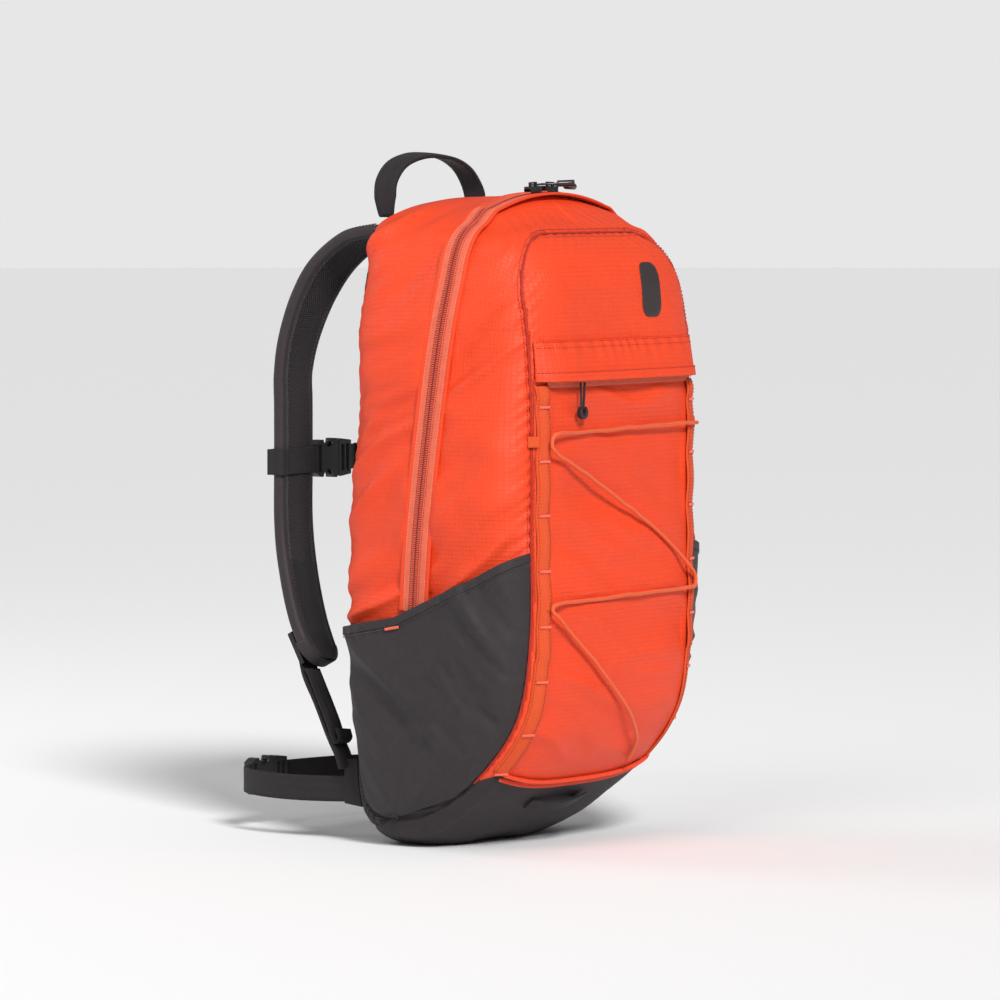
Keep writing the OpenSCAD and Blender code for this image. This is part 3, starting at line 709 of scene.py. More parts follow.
def shell_triangles(grid, values):
    """Two triangles for each quad, split so that a seam never runs through one."""
    quads = grid_faces(*grid.shape[:2], True)
    v = values.reshape(-1, 4)[quads]
    v = np.where(np.abs(v) < 1e-3, 0, v)
    cut = (v[:, 0] * v[:, 2] < 0).any(axis=-1)[:, None]
    first = np.where(cut, quads[:, [0, 1, 3]], quads[:, [0, 1, 2]])
    second = np.where(cut, quads[:, [1, 2, 3]], quads[:, [0, 2, 3]])
    return np.concatenate([first, second])


def crease_field(u, v, lean, spacing, layer):
    """Folds that run down to the right at a lean, uneven in place and strength; -1 to 1."""
    bend = flat_noise(u, v, 90, 90, layer) * 16
    across = u * math.sin(lean) + v * math.cos(lean) + bend
    along = u * math.cos(lean) - v * math.sin(lean)
    broad = flat_noise(along, across, spacing * 4.0, spacing, layer + 3)
    valley = flat_noise(along, across, spacing * 3.2, spacing * 0.8, layer + 7)
    crease = 1 - 2.4 * (valley ** 2 + 0.012) ** 0.4
    fine = flat_noise(along, across, spacing * 1.2, spacing * 0.3, layer + 9)
    return 0.7 * broad + 0.42 * crease + 0.22 * fine


def puckers(along, gap, reach, layer):
    """Short gathers that stand square to a seam and die out away from it."""
    pitch = 9.5
    jitter = flat_noise(along, gap * 0 + layer, 17, 5, layer) * 2.2
    ripple = np.sin((along + jitter) * 2 * math.pi / pitch)
    strength = 0.6 + 0.4 * flat_noise(along, gap, 40, 30, layer + 5)
    return ripple * strength * hump(gap, reach)


def near_bungee(points):
    """1 on the bungee's run over the front panel, falling to 0 a finger's width away."""
    nearest = np.full(points.shape[:-1], 99.0)
    for x, z in resample(smooth(BUNGEE_ROUTE, 6)[:, :2], 4.0):
        nearest = np.minimum(nearest, np.hypot(points[..., 0] - x, points[..., 2] - z))
    return np.clip(1 - nearest / 15, 0, 1)


def seam_offset(points, values):
    """The cloth's stand near the seams: pulled in on each seam, gathered beside it, full away from it."""
    x, y, z = np.moveaxis(points, -1, 0)
    boot, front, back = np.moveaxis(values[..., :3], -1, 0)
    edge = np.minimum(np.minimum(np.abs(front), np.abs(back)), np.abs(boot))
    offset = 1.4 * (1 - np.exp(-edge / 16)) - 0.7
    seam_along = np.where(np.abs(front) < 60, z + np.abs(x) * 0.9, z + y)
    offset = offset + 1.0 * puckers(seam_along, np.minimum(np.abs(front), 60), 11, 1)
    offset = offset + 0.45 * puckers(seam_along, np.minimum(np.abs(back), 60), 8, 2)
    offset = offset - 1.0 * hump(front, 1.5) - 0.8 * hump(back, 1.6)
    return offset - 0.8 * hump(boot, 1.6) * (np.abs(front) > 1), 1 - np.exp(-edge / 14)


def fold_offset(points, values):
    """The cloth's broad folds, panel by panel."""
    x, y, z = np.moveaxis(points, -1, 0)
    boot, front, back = np.moveaxis(values[..., :3], -1, 0)
    sides = crease_field(y * 1.0, z + np.sign(x) * 37, 0.62, 26, 1)
    front_folds = crease_field(x, z + 11, 0.30, 34, 2)
    top_folds = crease_field(x * 0.5, y, 0.1, 30, 3)
    high = np.clip((z - 470) / 25, 0, 1)
    soft = np.where(front < 0, 5.2 * front_folds * (0.45 + 0.55 * (z < POCKET_ZIP_Z)), 10.5 * sides)
    soft = soft * (1 - high) + 1.0 * top_folds * high
    soft = np.where(back < 0, soft * 0.15, soft)
    return np.where((boot < 0) & ~(back < 0), soft * 0.5 - 0.3, soft)


def calm(offset, near, keep, stand):
    """Flattens the cloth where near is 1, to a stand over the smooth body."""
    return offset * (1 - keep * near) + stand * near


def shell_offset(points, values):
    """How far the filled cloth stands out from, or sinks into, the smooth body."""
    x, y, z = np.moveaxis(points, -1, 0)
    boot, front, back, zip_gap = np.moveaxis(values, -1, 0)
    on_front, on_back, on_boot = front < 0, back < 0, boot < 0
    offset, off_seam = seam_offset(points, values)
    offset = offset + fold_offset(points, values) * off_seam
    beside_zip = np.where(z > 200, np.abs(y - zip_y(z)), 99)
    flat_zip = hump(beside_zip, 13, 4) * ((np.abs(x) > 60) | (z > 470))
    offset = calm(offset, flat_zip, 0.92, -0.5)
    gathers = 0.5 * np.sin(z / 5.2 + np.sign(x)) * hump(beside_zip - 15, 7) * (1 - flat_zip)
    offset = offset + gathers * (~on_front)
    near_daisy = hump(np.abs(x) - DAISY_X, 9, 4) * on_front * (z < 362)
    offset = calm(offset, near_daisy, 0.85, 0.9)
    near_badge = np.exp(-((x - BADGE_X) / 19) ** 4 - ((z - BADGE_Z) / 28) ** 4) * on_front
    offset = calm(offset, near_badge, 0.9, 0.5)
    offset = calm(offset, hump(zip_gap, 14, 4) * on_front, 0.8, -0.4)
    press = near_bungee(points) * on_front
    offset = np.where(press > 0, np.minimum(offset, 6.4 - 6.0 * press), offset)
    under_pocket = (z < line_z(HEM_LINE, y) + 4) & ~on_front & ~on_back & ~on_boot
    offset = np.where(under_pocket, np.minimum(offset, 0.0), offset)
    channels = 0.6 * np.cos(x * 2 * math.pi / 62) * on_back * (z > 60) * (z < 440)
    offset = offset + channels * off_seam
    over_arch = np.clip((86 - np.abs(x)) / 14, 0, 1) * (z > 465) * hump(y - ARCH_Y, 21, 4)
    return np.clip(offset, -5.5, 6.5) + ARCH_STAND * over_arch


def shell_uv(points, values):
    """Flat cloth coordinates in metres, set square to each panel's cut."""
    x, y, z = np.moveaxis(points, -1, 0)
    turn = np.arctan2(np.abs(x), z - (ARCH_TOP - ARCH_R))
    over = np.where(z > 400, ARCH_R * turn, ARCH_R * 0.82 + (400 - z))
    on_face = (values[..., 1] < 0) | (values[..., 2] < 0)
    tilt = np.where(z > 470, y * 0.7, 0)
    u = np.where(on_face, x, y)
    v = np.where(on_face, z + tilt, over * np.sign(x))
    return np.stack([u, v], -1) / 1000


def shell_panel(name, faces, outer, inner, uv, look, node):
    """One panel of the shell as a closed sheet, with walls along its rim."""
    edges = np.concatenate([faces[:, [0, 1]], faces[:, [1, 2]], faces[:, [2, 0]]])
    key = edges[:, 0] * len(outer) + edges[:, 1]
    back_key = edges[:, 1] * len(outer) + edges[:, 0]
    used, packed = np.unique(faces, return_inverse=True)
    packed = packed.reshape(-1, 3)
    n = len(used)
    a, b = np.searchsorted(used, edges[~np.isin(key, back_key)]).T
    walls = [np.stack([b, a, a + n], -1), np.stack([b, a + n, b + n], -1)]
    all_faces = np.concatenate([packed, packed[:, ::-1] + n] + walls)
    add_piece(name, [outer[used], inner[used]], all_faces, [uv[used], uv[used]], look, "bag", [node])


def make_shell():
    """The whole filled bag, cut along its seams into its five panels."""
    grid = snap_to_seams(shell_grid())
    values = seam_values(grid)
    padded_grid = np.concatenate([grid[:, -1:], grid, grid[:, :1]], axis=1)
    normals = -grid_normals(padded_grid)[:, 1:-1]
    outward = grid - grid.mean(axis=1, keepdims=True)
    normals = normals * np.sign((normals * outward).sum(-1, keepdims=True).mean())
    outer = grid + normals * shell_offset(grid, values)[..., None]
    outer[..., 2] = np.maximum(outer[..., 2], 0.3)
    inner = outer - normals * 1.3
    for layer in (outer, inner):
        for pole in (0, -1):
            layer[pole] = layer[pole].mean(axis=0)
    uv = shell_uv(grid, values).reshape(-1, 2)
    faces = shell_triangles(grid, values)
    outer, inner = outer.reshape(-1, 3), inner.reshape(-1, 3)
    boot_side, front_side, back_side, zip_side = values.reshape(-1, 4)[faces].sum(axis=1).T
    middle = grid.reshape(-1, 3)[faces].mean(axis=1)
    boot = boot_side < 0
    back = ~boot & (back_side < 0)
    behind_pocket = (front_side > 0) & (middle[:, 2] < line_z(HEM_LINE, middle[:, 1]) - 16)
    boot = boot | (~back & behind_pocket)
    front = ~boot & ~back & (front_side < 0)
    upper = front & (zip_side > 0)
    for name, mask, look, node in (
            ("shell_boot", boot, "boot_fabric", "boot_panel"),
            ("shell_back", back, "spacer_mesh", "back_panel_mesh"),
            ("shell_pocket", front & ~upper, "ripstop", "pocket_panel"),
            ("shell_front_top", upper, "ripstop", "front_panel"),
            ("shell_gusset", ~boot & ~back & ~front, "ripstop", "bag_gusset")):
        shell_panel(name, faces[mask], outer, inner, uv, look, node)


# ---- cloth pieces sewn on the bag ----

def mirror_x(points, left):
    """Left-hand points as they are, or their mirror image on the right."""
    return np.asarray(points, float) * [1 if left else -1, 1, 1]


def strap_hint(across, left):
    """Width direction that keeps a mirrored strap's outer face away from the bag."""
    return np.asarray(across, float) * ([1, 1, 1] if left else [1, -1, -1])


def side_name(left):
    return "left" if left else "right"


def pocket_turns(z, across):
    """Section at height z, and the turns and depths of places across the side pocket."""
    a, mid, deep, n = section(z)
    turn = math.pi + across * np.arccos(np.minimum(1, POCKET_EDGE_X / a) ** (n / 2))
    return (a, mid, deep, n), turn, mid + deep * squared(np.sin(turn), 2 / n)


def pocket_grid(left):
    """Outer face of the stretch pocket, from the boot seam to its mouth."""
    columns, rows = ((150, 110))
    across = np.linspace(1, -1, columns)
    probe_y = pocket_turns(150.0, across)[2]
    high, low = line_z(HEM_LINE, probe_y), line_z(BOOT_LINE, probe_y)
    for _ in range(8):
        low = 0.5 * low + 0.5 * (line_z(BOOT_LINE, pocket_turns(low, across)[2]) - 2)
    share = np.linspace(0, 1, rows)[:, None]
    z = low + (high - low) * share
    (a, mid, deep, n), turn, smooth_y = pocket_turns(z, across)
    edge = np.clip(4 * (1 - np.abs(across)), 0, 1)
    stand = LAY + 0.9 + (1 - (1 - share) ** 3) * 7.6 * edge
    folds = crease_field(smooth_y, z * 1.0, -0.75 if left else -0.55, 24, 9)
    gathers = np.sin(z / 2.9 + 2 * np.sin(z / 23)) * hump(np.abs(across) - 1, 0.10) * 0.5
    hem_gathers = 0.35 * np.sin(smooth_y / 1.7) * hump(1 - share, 0.06)
    stand = stand + (5.0 * folds * np.minimum(1, 6 * share) * (0.35 + 0.65 * edge) + gathers + hem_gathers)
    ear = hump(across + 1, 0.16) * hump(1 - share, 0.18)
    stand = np.maximum(stand + 3.2 * ear, 0.9)
    x = (a + stand) * squared(np.cos(turn), 2 / n)
    y = mid + (deep + stand * 0.35) * squared(np.sin(turn), 2 / n)
    grid = mirror_x(np.stack([x, y, z], -1), left)
    inside_out = np.mean(grid_normals(grid)[..., 0]) * (-1 if left else 1) < 0
    return grid[:, ::-1] if inside_out else grid


def make_side_pocket(left):
    """Stretch pocket between the side seams, with a rolled elastic hem along its mouth."""
    name, side = side_name(left), -1 if left else 1
    grid = pocket_grid(left)
    u = np.cumsum(np.linalg.norm(np.diff(grid, axis=1, prepend=grid[:, :1]), axis=-1), axis=1)
    v = np.cumsum(np.linalg.norm(np.diff(grid, axis=0, prepend=grid[:1]), axis=-1), axis=0)
    pocket = cloth("side_pocket_cloth_" + name, grid, 1.0, np.stack([u, v], -1) / 1000, "stretch_fabric",
                   ["side_pocket_" + name])
    mouth = resample(grid[-1] + grid_normals(grid)[-1] * 0.35, 1.5)
    hem = loft("pocket_hem_" + name, mouth, (0, 0, 1), band_section(7.0, -1.3, 0.5, 0.5), "stretch_fabric")
    below = grid[-1] + [side * 1.0, 0, -4.6]
    out = np.broadcast_to([side, 0, 0.1], below.shape)
    run = stitch_line("pocket_hem_stitch_" + name, below, out, "dark_thread", 2.6, (1.8, 0.6, 0.4))


def make_bartacks():
    """Dense zigzag stitches: across the daisy chains and on the pocket hems."""
    spots, directions, outs = [], [], []
    for side in (-1, 1):
        for z in BARTACK_Z:
            for step in np.arange(-4.2, 4.3, 0.7):
                x = side * DAISY_X + step
                spots.append([x, front_y(x, z, LAY + WEB_T + 0.75), z])
                outs.append(unit([(front_y(x + 3, z) - front_y(x - 3, z)) / 6, -1, 0]))
                directions.append(unit([0.25, 0, 1.0]))
        for step in np.arange(-6.5, 6.6, 0.75):
            y, z = 24 + step, 172 - step * 0.19
            spots.append([side * side_x(y, z, 10.6), y, z])
            outs.append([side, 0, 0])
            directions.append(unit([0, 0.2, 1.0]))
    beads("bartack_stitches", (2.3, 0.85, 0.5), spots, directions, outs, "bartack_thread", "bag",
          ["bartacks"])


def make_storm_flap():
    """Band sewn over the pocket zip: stitched along its top, free along its lower hem."""
    x = np.linspace(-FLAP_HALF, FLAP_HALF, 240)
    z = np.linspace(FLAP_LOW, FLAP_HIGH, 24)[:, None]
    drop = (FLAP_HIGH - z) / (FLAP_HIGH - FLAP_LOW)
    cap = 1 - (np.abs(x) / FLAP_HALF) ** 10
    pucker = 0.55 * np.sin(x / 2.1 + 2.5 * np.sin(x / 19)) * hump(drop - 0.05, 0.35)
    hem_wave = 0.3 * np.sin(x / 17 + 1.0) * drop ** 2 + 0.15 * np.sin(x / 6.3) * drop
    off = 1.9 + drop ** 0.55 * 9.4 * cap + pucker * cap + hem_wave * cap
    grid = on_front(*np.broadcast_arrays(x, z), off)
    normals = grid_normals(grid)
    uv = grid[..., [0, 2]] / 1000
    flap = cloth("storm_flap_cloth", grid, 1.1, uv, "flap_fabric", ["storm_flap"])
    pieces = [cloth("storm_flap_hem", grid[:6] + normals[:6] * 0.9, 0.8, uv[:6], "flap_fabric")]
    out = np.broadcast_to([0, -1.0, 0], grid[0].shape)
    for label, row, lift in (("low", 5, 1.0), ("top", -2, 0.15), ("mid", -5, 0.15)):
        pieces.append(stitch_line("flap_stitch_" + label, grid[row] + normals[row] * lift, out, "seam_thread",
                                  2.8, (1.9, 0.6, 0.4)))


def make_daisy_chain(left):
    """Webbing ladder along the side seam, bowed a little between its bartacks."""
    name, x = side_name(left), -DAISY_X if left else DAISY_X
    heights = [358] + BARTACK_Z
    path = []
    for start, stop in zip(heights[:-1], heights[1:]):
        for k in range(12):
            z = start + (stop - start) * k / 12
            bow = (1.3 if z > 150 else 0.3) * math.sin(math.pi * k / 12) ** 1.5
            path.append([x, float(front_y(DAISY_X, z, LAY + 0.3 + bow)), z])
    path.append([x, float(front_y(DAISY_X, 62.0, LAY + 0.3)), 62])
    path = np.array(path)
    path[:, 0] += 0.3 * flat_noise(path[:, 2], path[:, 2] * 0, 40, 10, 2.0)
    slope = front_y(x + 6, path[:, 2]) - front_y(x - 6, path[:, 2])
    hint = unit(np.stack([np.full(len(path), 12.0), slope, np.zeros(len(path))], -1))
    hugging = band_section(DAISY_W, 0, WEB_T)
    hugging[:, 1] -= 0.032 * hugging[:, 0] ** 2
    loft("daisy_webbing_" + name, path, hint, hugging, "orange_webbing", "bag", ["daisy_chain_" + name])
    _, across, out = frames(path, hint)
    for label, shift in (("a", -4.9), ("b", 4.9)):
        stitch_line("daisy_stitch_%s_%s" % (name, label), path + across * shift + out * (WEB_T - 0.65), out,
                    "seam_thread", 2.7, (1.8, 0.5, 0.35))


def make_bungee():
    """Elastic cord laced over the front panel, taut and slightly uneven."""
    points = resample(smooth(BUNGEE_ROUTE, 12), 1.2)
    wobble = flat_noise(lengths(points), points[:, 0] * 0, 13, 5, 4.0) * 0.55
    line = on_front(points[:, 0], points[:, 1] + wobble, points[:, 2] + 2.9 - 0.6)
    cord = loft("bungee_lacing", line, (0, -1, 0.3), ring(BUNGEE_R, 14), "bungee", "bag", ["bungee_cord"])


def make_bungee_tabs():
    """Short folded tabs that come out of the side seams and hold the bungee."""
    route = np.array([[0, 0, 0], [0.3, 0.5, 0], [0.85, 0.85, 0], [1.0, 1.0, 0]])
    for k, (x, z) in enumerate(((103, 324), (-104, 316), (97, 203), (-97, 192))):
        side = 1 if x > 0 else -1
        start = np.array([x + side * 3.0, float(front_y(min(abs(x) + 3, 112), z, 1.0)), z])
        path = start + route[:, :1] * [-side * 7.0, -6.0, 0]
        loft("bungee_tab_%d" % k, resample(path, 0.8), (0, 0, 1), band_section(8.5, -0.9, 0.9, 0.3),
             "orange_webbing", "bag", ["bungee_loops"] if k == 0 else [])


def make_front_seam():
    """Raised dark thread and a run of stitches that follow the front panel's outline."""
    half, round_z = FRONT_HALF - FRONT_ROUND, FRONT_TOP - FRONT_ROUND
    arc = np.radians(np.linspace(0, 90, 40))
    right = np.concatenate([
        np.stack([np.full(150, FRONT_HALF), np.linspace(54, round_z, 150, endpoint=False)], -1),
        np.stack([half + FRONT_ROUND * np.cos(arc), round_z + FRONT_ROUND * np.sin(arc)], -1)])
    x, z = resample(np.concatenate([right, right[::-1] * [-1, 1]]), 2.0).T
    line = on_front(x, z, 0.0)
    tangent = unit(np.gradient(line, axis=0))
    slope_x = (front_y(x + 1, z) - front_y(x - 1, z)) / 2
    slope_z = (front_y(x, z + 1) - front_y(x, z - 1)) / 2
    normal = unit(np.stack([slope_x, -np.ones(len(line)), slope_z], -1))
    wave = 0.5 * np.sin(lengths(line) / 2.6)
    fold = loft("front_seam_fold", line + normal * (-1.0 + wave * 0.35)[:, None], np.cross(normal, tangent),
                ring(0.9, 8), "seam_thread")
    beside = line + np.cross(tangent, normal) * 3.2 + normal * 0.15
    stitch_line("front_seam_stitch", beside, normal, "seam_thread", 3.0, (2.0, 0.6, 0.4))


def make_piping():
    """Piping between the front pocket and the boot, with the fold of cloth under it."""
    x = np.linspace(-PIPING_HALF, PIPING_HALF, 190)
    z = piping_z(x)
    loft("boot_piping", on_front(x, z, 2.3), (0, 0, 1), ring(1.7, 14), "ripstop", "bag", ["seam_piping"])
    loft("boot_piping_fold", on_front(x, z - 3.2, 1.0), (0, 0, 1), band_section(3.4, -0.4, 0.5), "ripstop")


def make_badge():
    """Plain dark pill-shaped patch without any mark on it, laid on the filled cloth."""
    angle = np.linspace(0, 2 * math.pi, 72, endpoint=False)
    rings = []
    for scale, lift in ((0.985, 0.1), (1.0, 0.35), (0.985, 0.6), (0.8, 0.62), (0.55, 0.62), (0.3, 0.62),
                        (0.08, 0.62)):
        x = BADGE_X + BADGE_HALF_W * scale * squared(np.cos(angle), 0.5)
        z = BADGE_Z + BADGE_HALF_H * scale * squared(np.sin(angle), 0.5)
        base = on_front(x, z, 0.0)
        rings.append(on_front(x, z, shell_offset(base, seam_values(base)) + lift))
    last = (len(rings) - 1) * 72
    faces = grid_faces(len(rings), 72, True).tolist()
    faces += [list(range(71, -1, -1)), list(range(last, last + 72))]
    add_piece("front_badge", rings, faces, None, "badge_print", "bag", ["badge"])


def make_boot_loop():
    """Tool loop sewn across the boot."""
    x = np.linspace(-34, 34, 60)
    bow = 4 * np.cos(x * math.pi / 68)
    path = np.stack([x, front_y(x, 34.0, 2.6 + bow), 34 - bow], -1)
    hint = (0, float(front_y(0.0, 38.0) - front_y(0.0, 30.0)), 8)
    loft("boot_ice_axe_loop", path, hint, band_section(12, 0, WEB_T), "webbing", "bag", ["boot_loop"])


# ---- zips ----

def zip_centre():
    """Line along the middle of the main zip, over the arch and down both sides."""
    arc = np.radians(np.arange(0, 21, 2))
    arch_z = ARCH_TOP - ARCH_R
    half = [[ARCH_R * math.sin(a), ARCH_Y, arch_z + ARCH_R * math.cos(a)] for a in arc]
    for z in (480, 475, 469, 462, 454, 445, 434, 421, 405, 385, 360, 320, 280, 240, 206, 184):
        half.append([float(side_x(zip_y(z), float(z), LAY)), float(zip_y(z)), z])
    half = np.array(half)
    whole = np.concatenate([half[:0:-1] * [-1, 1, 1], half])
    return resample(smooth(whole, 8), 0.8)


def make_zip_teeth(centre, across, out):
    """Coil of the main zip: one bead for each tooth, in two rows that mesh."""
    pitch = 1.7
    distance = lengths(centre)
    rows = []
    for side in (-1, 1):
        at = np.arange(2, distance[-1] - 2, pitch) + (0.5 * pitch if side > 0 else 0)
        axes, ups = unit(sample(across, distance, at)), unit(sample(out, distance, at))
        rows.append([sample(centre, distance, at) + axes * side * 1.75 + ups * 1.5, axes, ups])
    spots, axes, ups = (np.concatenate(pair) for pair in zip(*rows))
    beads("zip_coil_teeth", (2.7, 1.15, 0.75), spots, axes, ups, "zip_coil")


def make_main_zip():
    """Tapes with two rows of stitches, welts beside them and the coil between, over a dark strip painted as
    the shade between its teeth.
    """
    centre = zip_centre()
    _, across, out = frames(centre, (0, 1, 0))
    if (out[:, 2] * (np.abs(centre[:, 0]) < 40)).sum() < 0:
        out = -out
    for label, side in (("front", -1), ("back", 1)):
        loft("zip_tape_" + label, centre + across * side * 6.1 + out * -0.2, (0, 1, 0),
             band_section(9.2, 0, 0.8), "zip_tape", "bag", ["main_zip_tape"] if side < 0 else [])
        for k, (shift, look) in enumerate(((4.4, "seam_thread"), (9.6, "light_thread"))):
            stitch_line("zip_stitch_%s_%d" % (label, k), centre + across * side * shift + out * 0.62, out,
                        look, 2.6, (1.8, 0.55, 0.35))
        loft("zip_welt_" + label, centre + across * side * 12.0 + out * -0.1, (0, 1, 0),
             band_section(3.6, -0.9, 1.3, 0.8), "ripstop")
    # Dark strip under the teeth, in a darker copy of the coil's colour: painted shade showing between the
    # teeth.
    loft("zip_coil_shade_strip", centre, (0, 1, 0), band_section(5.4, 0.3, 1.5), "zip_shadow", "bag",
         ["main_zip_coil"])
    make_zip_teeth(centre, across, out)


def make_pocket_zip():
    x = np.linspace(-90, 90, 180)
    for label, side in (("low", -1), ("high", 1)):
        line = on_front(x, np.full_like(x, POCKET_ZIP_Z + side * 6), LAY)
        loft("pocket_tape_" + label, line, (0, 0, 1), band_section(7, 0, 0.7), "zip_tape", "bag",
             ["pocket_zip_tape"] if side < 0 else [])


# ---- harness ----

def strap_across(line):
    """Width direction of the left strap, which twists as it comes down."""
    share = np.radians(STRAP_TWIST) * np.clip((472 - line[:, 2]) / 110, 0, 1)
    return -np.stack([np.cos(share), np.sin(share), np.zeros(len(line))], -1)


def padded_section(width, low, high, crown_low, crown_high):
    """Section of a padded strap: crowned faces and full rounded edges."""
    half = width / 2
    t = np.linspace(-1, 1, 13)
    shape = 1 - np.abs(t) ** 4
    bottom = np.stack([t * (half - 1.2), low - crown_low * shape], -1)
    top = np.stack([-t * (half - 1.2), high + crown_high * shape], -1)
    middle, reach = (low + high) / 2, (high - low) * 0.28
    edge = np.array([[half - 0.2, middle - reach], [half, middle], [half - 0.2, middle + reach]])
    return np.concatenate([bottom, edge, top, edge[::-1] * [-1, 1]])


def binding_section(width):
    """Cloth strip folded round a strap's edge, seen end on; the edge is on the positive side."""
    outer = [(-8.6, -4.9), (-3.0, -5.1), (-0.9, -4.6), (0.3, -2.8), (0.5, -0.6), (0.2, 1.8), (-1.0, 3.9),
             (-3.0, 4.7), (-7.2, 5.0)]
    inner = [(-7.2, 4.2), (-3.2, 3.9), (-1.6, 2.9), (-0.9, 1.2), (-0.7, -0.8), (-0.9, -2.6), (-1.7, -3.7),
             (-3.2, -4.2), (-8.6, -4.1)]
    return np.array(outer + inner) + [width / 2, 0]


def make_strap(left):
    """Padded shoulder strap: foam core, mesh against the wearer, bound edges and load webbing."""
    name, body = side_name(left), "strap_" + side_name(left)
    base = smooth(STRAP_LINE, 20)
    count = len(base)
    hint = strap_hint(strap_across(base), left)
    line = mirror_x(base, left)
    along, across, out = frames(line, hint)
    taper = curve(np.array(STRAP_TAPER)[:, None], np.linspace(0, len(STRAP_TAPER) - 1, count))[:, 0]
    to_tip = np.arange(count)[::-1] / (count * 0.05)
    wide = STRAP_W * taper * (np.sqrt(1 - (1 - np.clip(to_tip, 0, 1)) ** 2) * 0.85 + 0.15)
    travel = lengths(base)
    ripple = 0.35 * flat_noise(travel, travel * 0, 16, 5, 3.0)
    padding = [padded_section(w - 3.4, -3.3, 3.3, 0.4, 1.2 + r) for w, r in zip(wide, ripple)]
    foam = loft("strap_padding_" + name, line, hint, padding, "strap_fabric", body, ["strap_foam_" + name])
    face = [padded_section(w - 9, -4.3, -3.2, 0.9 + 0.5 * r, 0) for w, r in zip(wide, ripple)]
    loft("strap_mesh_face_" + name, line, hint, face, "spacer_mesh", body, ["strap_mesh_" + name])
    low = base[:, 2] < 212
    cover = [padded_section(w - 8, -5.0, -4.0, 1.1 + 2.2 * r, 0) for w, r in zip(wide[low], ripple[low])]
    loft("strap_end_cover_" + name, line[low], hint[low], cover, "strap_fabric", body)
    for k, side in enumerate((-1, 1)):
        rings = [binding_section(w)[::side] * [side, 1] for w in wide]
        loft("strap_edge_%s_%d" % (name, k), line, hint, rings, "binding", body,
             ["strap_binding_" + name] if k == 0 else [])
        inset = (wide / 2 - 6.8)[:, None] * side
        for label, height in (("in", -5.15), ("out", 5.0)):
            stitch_line("strap_stitch_%s_%d_%s" % (name, k, label), line + across * inset + out * height,
                        out * np.sign(height), "dark_thread", 3.0, (2.0, 0.6, 0.4), body)
    tip, near_tip = count - 1, int((count - 1) * 0.955)
    around = np.radians(np.linspace(-90, 90, 24))[:, None]
    half = wide[near_tip] / 2
    spots = line[near_tip] + across[tip] * np.sin(around) * half + along[tip] * np.cos(around) * half * 0.75
    loft("strap_tip_binding_" + name, spots, out[tip], band_section(9.2, -0.6, 0.8), "binding", body)
    steps = (count - 1) / (len(STRAP_LINE) - 1)
    for piece, node, first, lift, width in (("strap_webbing_line_", "strap_webbing_", 1.5, 4.6, 16),
                                            ("ladder_loop_web_", "ladder_loop_", 9, 6.2, 17)):
        part = slice(int(first * steps), int(10 * steps) + 1)
        loft(piece + name, line[part] + out[part] * lift, hint[part], band_section(width, 0, WEB_T),
             "webbing", body, [node + name])
    at = int(1.15 * steps)
    tab = line[at] + out[at] * 4.8 + across[at] * np.linspace(-6, 6, 9)[:, None]
    loft("strap_tab_" + name, tab, along[at], band_section(12, 0, 2.4), "webbing", body)


def make_lower_webbing(left):
    """Adjuster webbing from the bag's bottom corner to the ladder-lock, with its loose tail."""
    name, body = side_name(left), "lower_webbing_" + side_name(left)
    hint = (1 if left else -1, 0, 0)
    loft("adjuster_webbing_" + name, mirror_x(smooth(ADJUSTER_LINE, 8), left), hint,
         band_section(WEB_W - 2, 0, 2 * WEB_T), "webbing", body, ["lower_webbing_" + name])
    tail = mirror_x(smooth(TAIL_LINE, 8), left) + [0, -2.4, -0.6]
    loft("adjuster_tail_" + name, tail, hint, band_section(WEB_W - 3, -0.7, 0.7), "webbing", body)


def make_handle():
    """Grab handle: doubled webbing that narrows into its two sewn feet."""
    route = smooth(HANDLE_ROUTE, 10)
    lean_in = 1 - 0.13 * np.clip(route[:, 2], 0, 1) ** 0.5
    rise = HANDLE_RISE * route[:, 2]
    path = np.stack([route[:, 0] * lean_in, route[:, 1], HANDLE_FOOT_Z + rise], -1)
    rings = []
    for height in rise:
        flat = band_section(min(WEB_W, 13 + 0.45 * height), 0, 2 * WEB_T)
        flat[:, 1] += 0.8 * np.clip(height / 20, 0, 1) * np.cos(flat[:, 0] / 8)
        rings.append(flat)
    loft("grab_handle_web", path, (0, 1, 0.1), rings, "webbing", "grab_handle", ["grab_handle"])


def make_hip_belt():
    for name, route in HIP_ROUTES.items():
        flat = smooth(route, 12)
        travel = lengths(flat)
        sag = 1.2 * np.sin(travel / travel[-1] * math.pi)
        path = np.stack([flat[:, 0], flat[:, 1], BELT_Z - sag], -1)
        loft("hip_belt_web_" + name, path, (0, 0, 1), band_section(WEB_W, -WEB_T / 2, WEB_T / 2), "webbing",
             "hip_belt", ["hip_webbing_" + name])


def make_yoke():
    """Patch that the shoulder straps are sewn to, in the boot fabric."""
    z = np.linspace(430, 462, 16)
    path = np.stack([z * 0, back_y(0.0, z, 2.0), z], -1)
    yoke = loft("yoke_cloth", path, (1, 0, 0), band_section(120, 0, 1.6), "boot_fabric", "bag",
                ["yoke_patch"])


# ---- camera, light and floor ----

def link_aimed(thing, direction):
    """Puts a camera or light in the scene, looking along a direction."""
    thing.rotation_euler = Vector(direction).to_track_quat("-Z", "Y").to_euler()
    bpy.context.scene.collection.objects.link(thing)


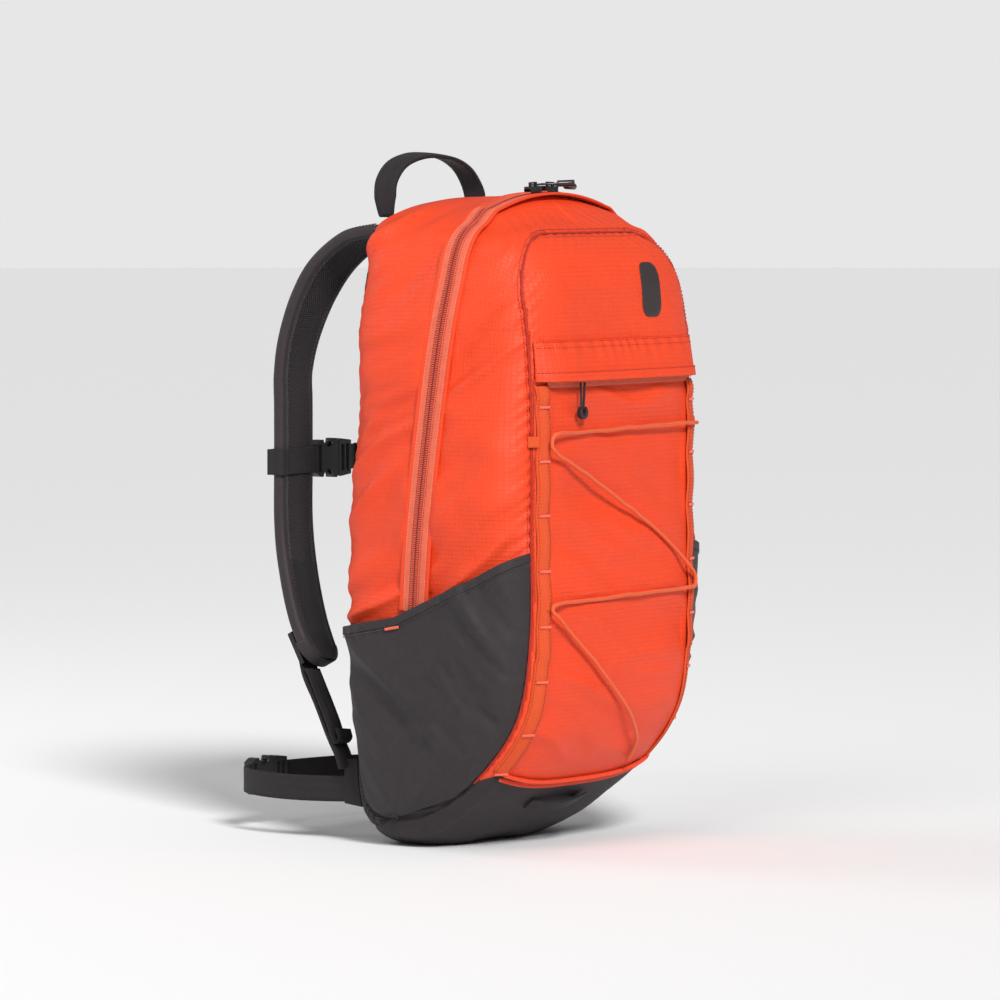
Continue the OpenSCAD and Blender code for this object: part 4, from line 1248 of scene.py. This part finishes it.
def make_camera():
    azimuth, elevation, distance = math.radians(-53), math.radians(3.5), 5.0
    away = Vector((math.sin(azimuth) * math.cos(elevation), -math.cos(azimuth) * math.cos(elevation),
                   math.sin(elevation)))
    data = bpy.data.cameras.new("camera")
    data.sensor_width = 36
    data.lens = 232.5
    data.shift_x = -0.0208
    data.shift_y = 0.0187
    camera = bpy.data.objects.new("camera", data)
    camera.location = Vector(place([0, 0, 250])) + away * distance
    link_aimed(camera, -away)
    bpy.context.scene.camera = camera


def area_light(name, location, size, power):
    data = bpy.data.lights.new(name, "AREA")
    data.size = size
    data.energy = power
    light = bpy.data.objects.new(name, data)
    light.location = location
    link_aimed(light, Vector((0, 0, 0.26)) - Vector(location))


def make_lights():
    """Broad sun from the front left, two softer lamps and an even white surround."""
    sun = bpy.data.lights.new("key", "SUN")
    sun.energy = 3.0
    sun.angle = math.radians(14)
    link_aimed(bpy.data.objects.new("key", sun), (1.0, 1.45, -1.25))
    area_light("rim", (-0.6, 1.9, 1.3), 1.0, 9)
    area_light("softbox", (-2.2, -0.4, 2.2), 1.3, 16)
    world = bpy.data.worlds.new("studio")
    world.use_nodes = True
    surround = world.node_tree.nodes["Background"]
    surround.inputs["Color"].default_value = (1, 1, 1, 1)
    surround.inputs["Strength"].default_value = 0.28
    bpy.context.scene.world = world
    bpy.context.scene.view_settings.view_transform = "Standard"


def make_studio():
    """Grey backdrop that only the camera sees, and a white floor."""
    bpy.ops.mesh.primitive_uv_sphere_add(radius=20, segments=48, ring_count=24, location=(0, 0, 0))
    backdrop = bpy.context.object
    backdrop.name = "studio_backdrop"
    backdrop.visible_diffuse = False
    backdrop.visible_glossy = False
    backdrop.visible_shadow = False
    glow = Shader("backdrop_paper", (0, 0, 0), 0.5, specular=0)
    glow.set("Emission Color", (0.80, 0.80, 0.80, 1))
    glow.set("Emission Strength", 1)
    backdrop.data.materials.append(glow.material)
    bpy.ops.mesh.primitive_plane_add(size=36, location=(0, 0, -0.0005))
    floor = bpy.context.object
    floor.name = "studio_floor"
    floor.data.materials.append(Shader("floor_paper", (0.93, 0.93, 0.93), 0.9).material)


# ---- assembly ----

def main():
    dress_cad_nodes()
    make_shell()
    make_front_seam()
    make_piping()
    make_storm_flap()
    make_badge()
    make_bungee()
    make_bungee_tabs()
    make_bartacks()
    make_boot_loop()
    make_main_zip()
    make_pocket_zip()
    make_handle()
    make_hip_belt()
    make_yoke()
    for left in (True, False):
        make_side_pocket(left)
        make_daisy_chain(left)
        make_strap(left)
        make_lower_webbing(left)
    soften_hardware()
    make_camera()
    make_lights()
    make_studio()


main()
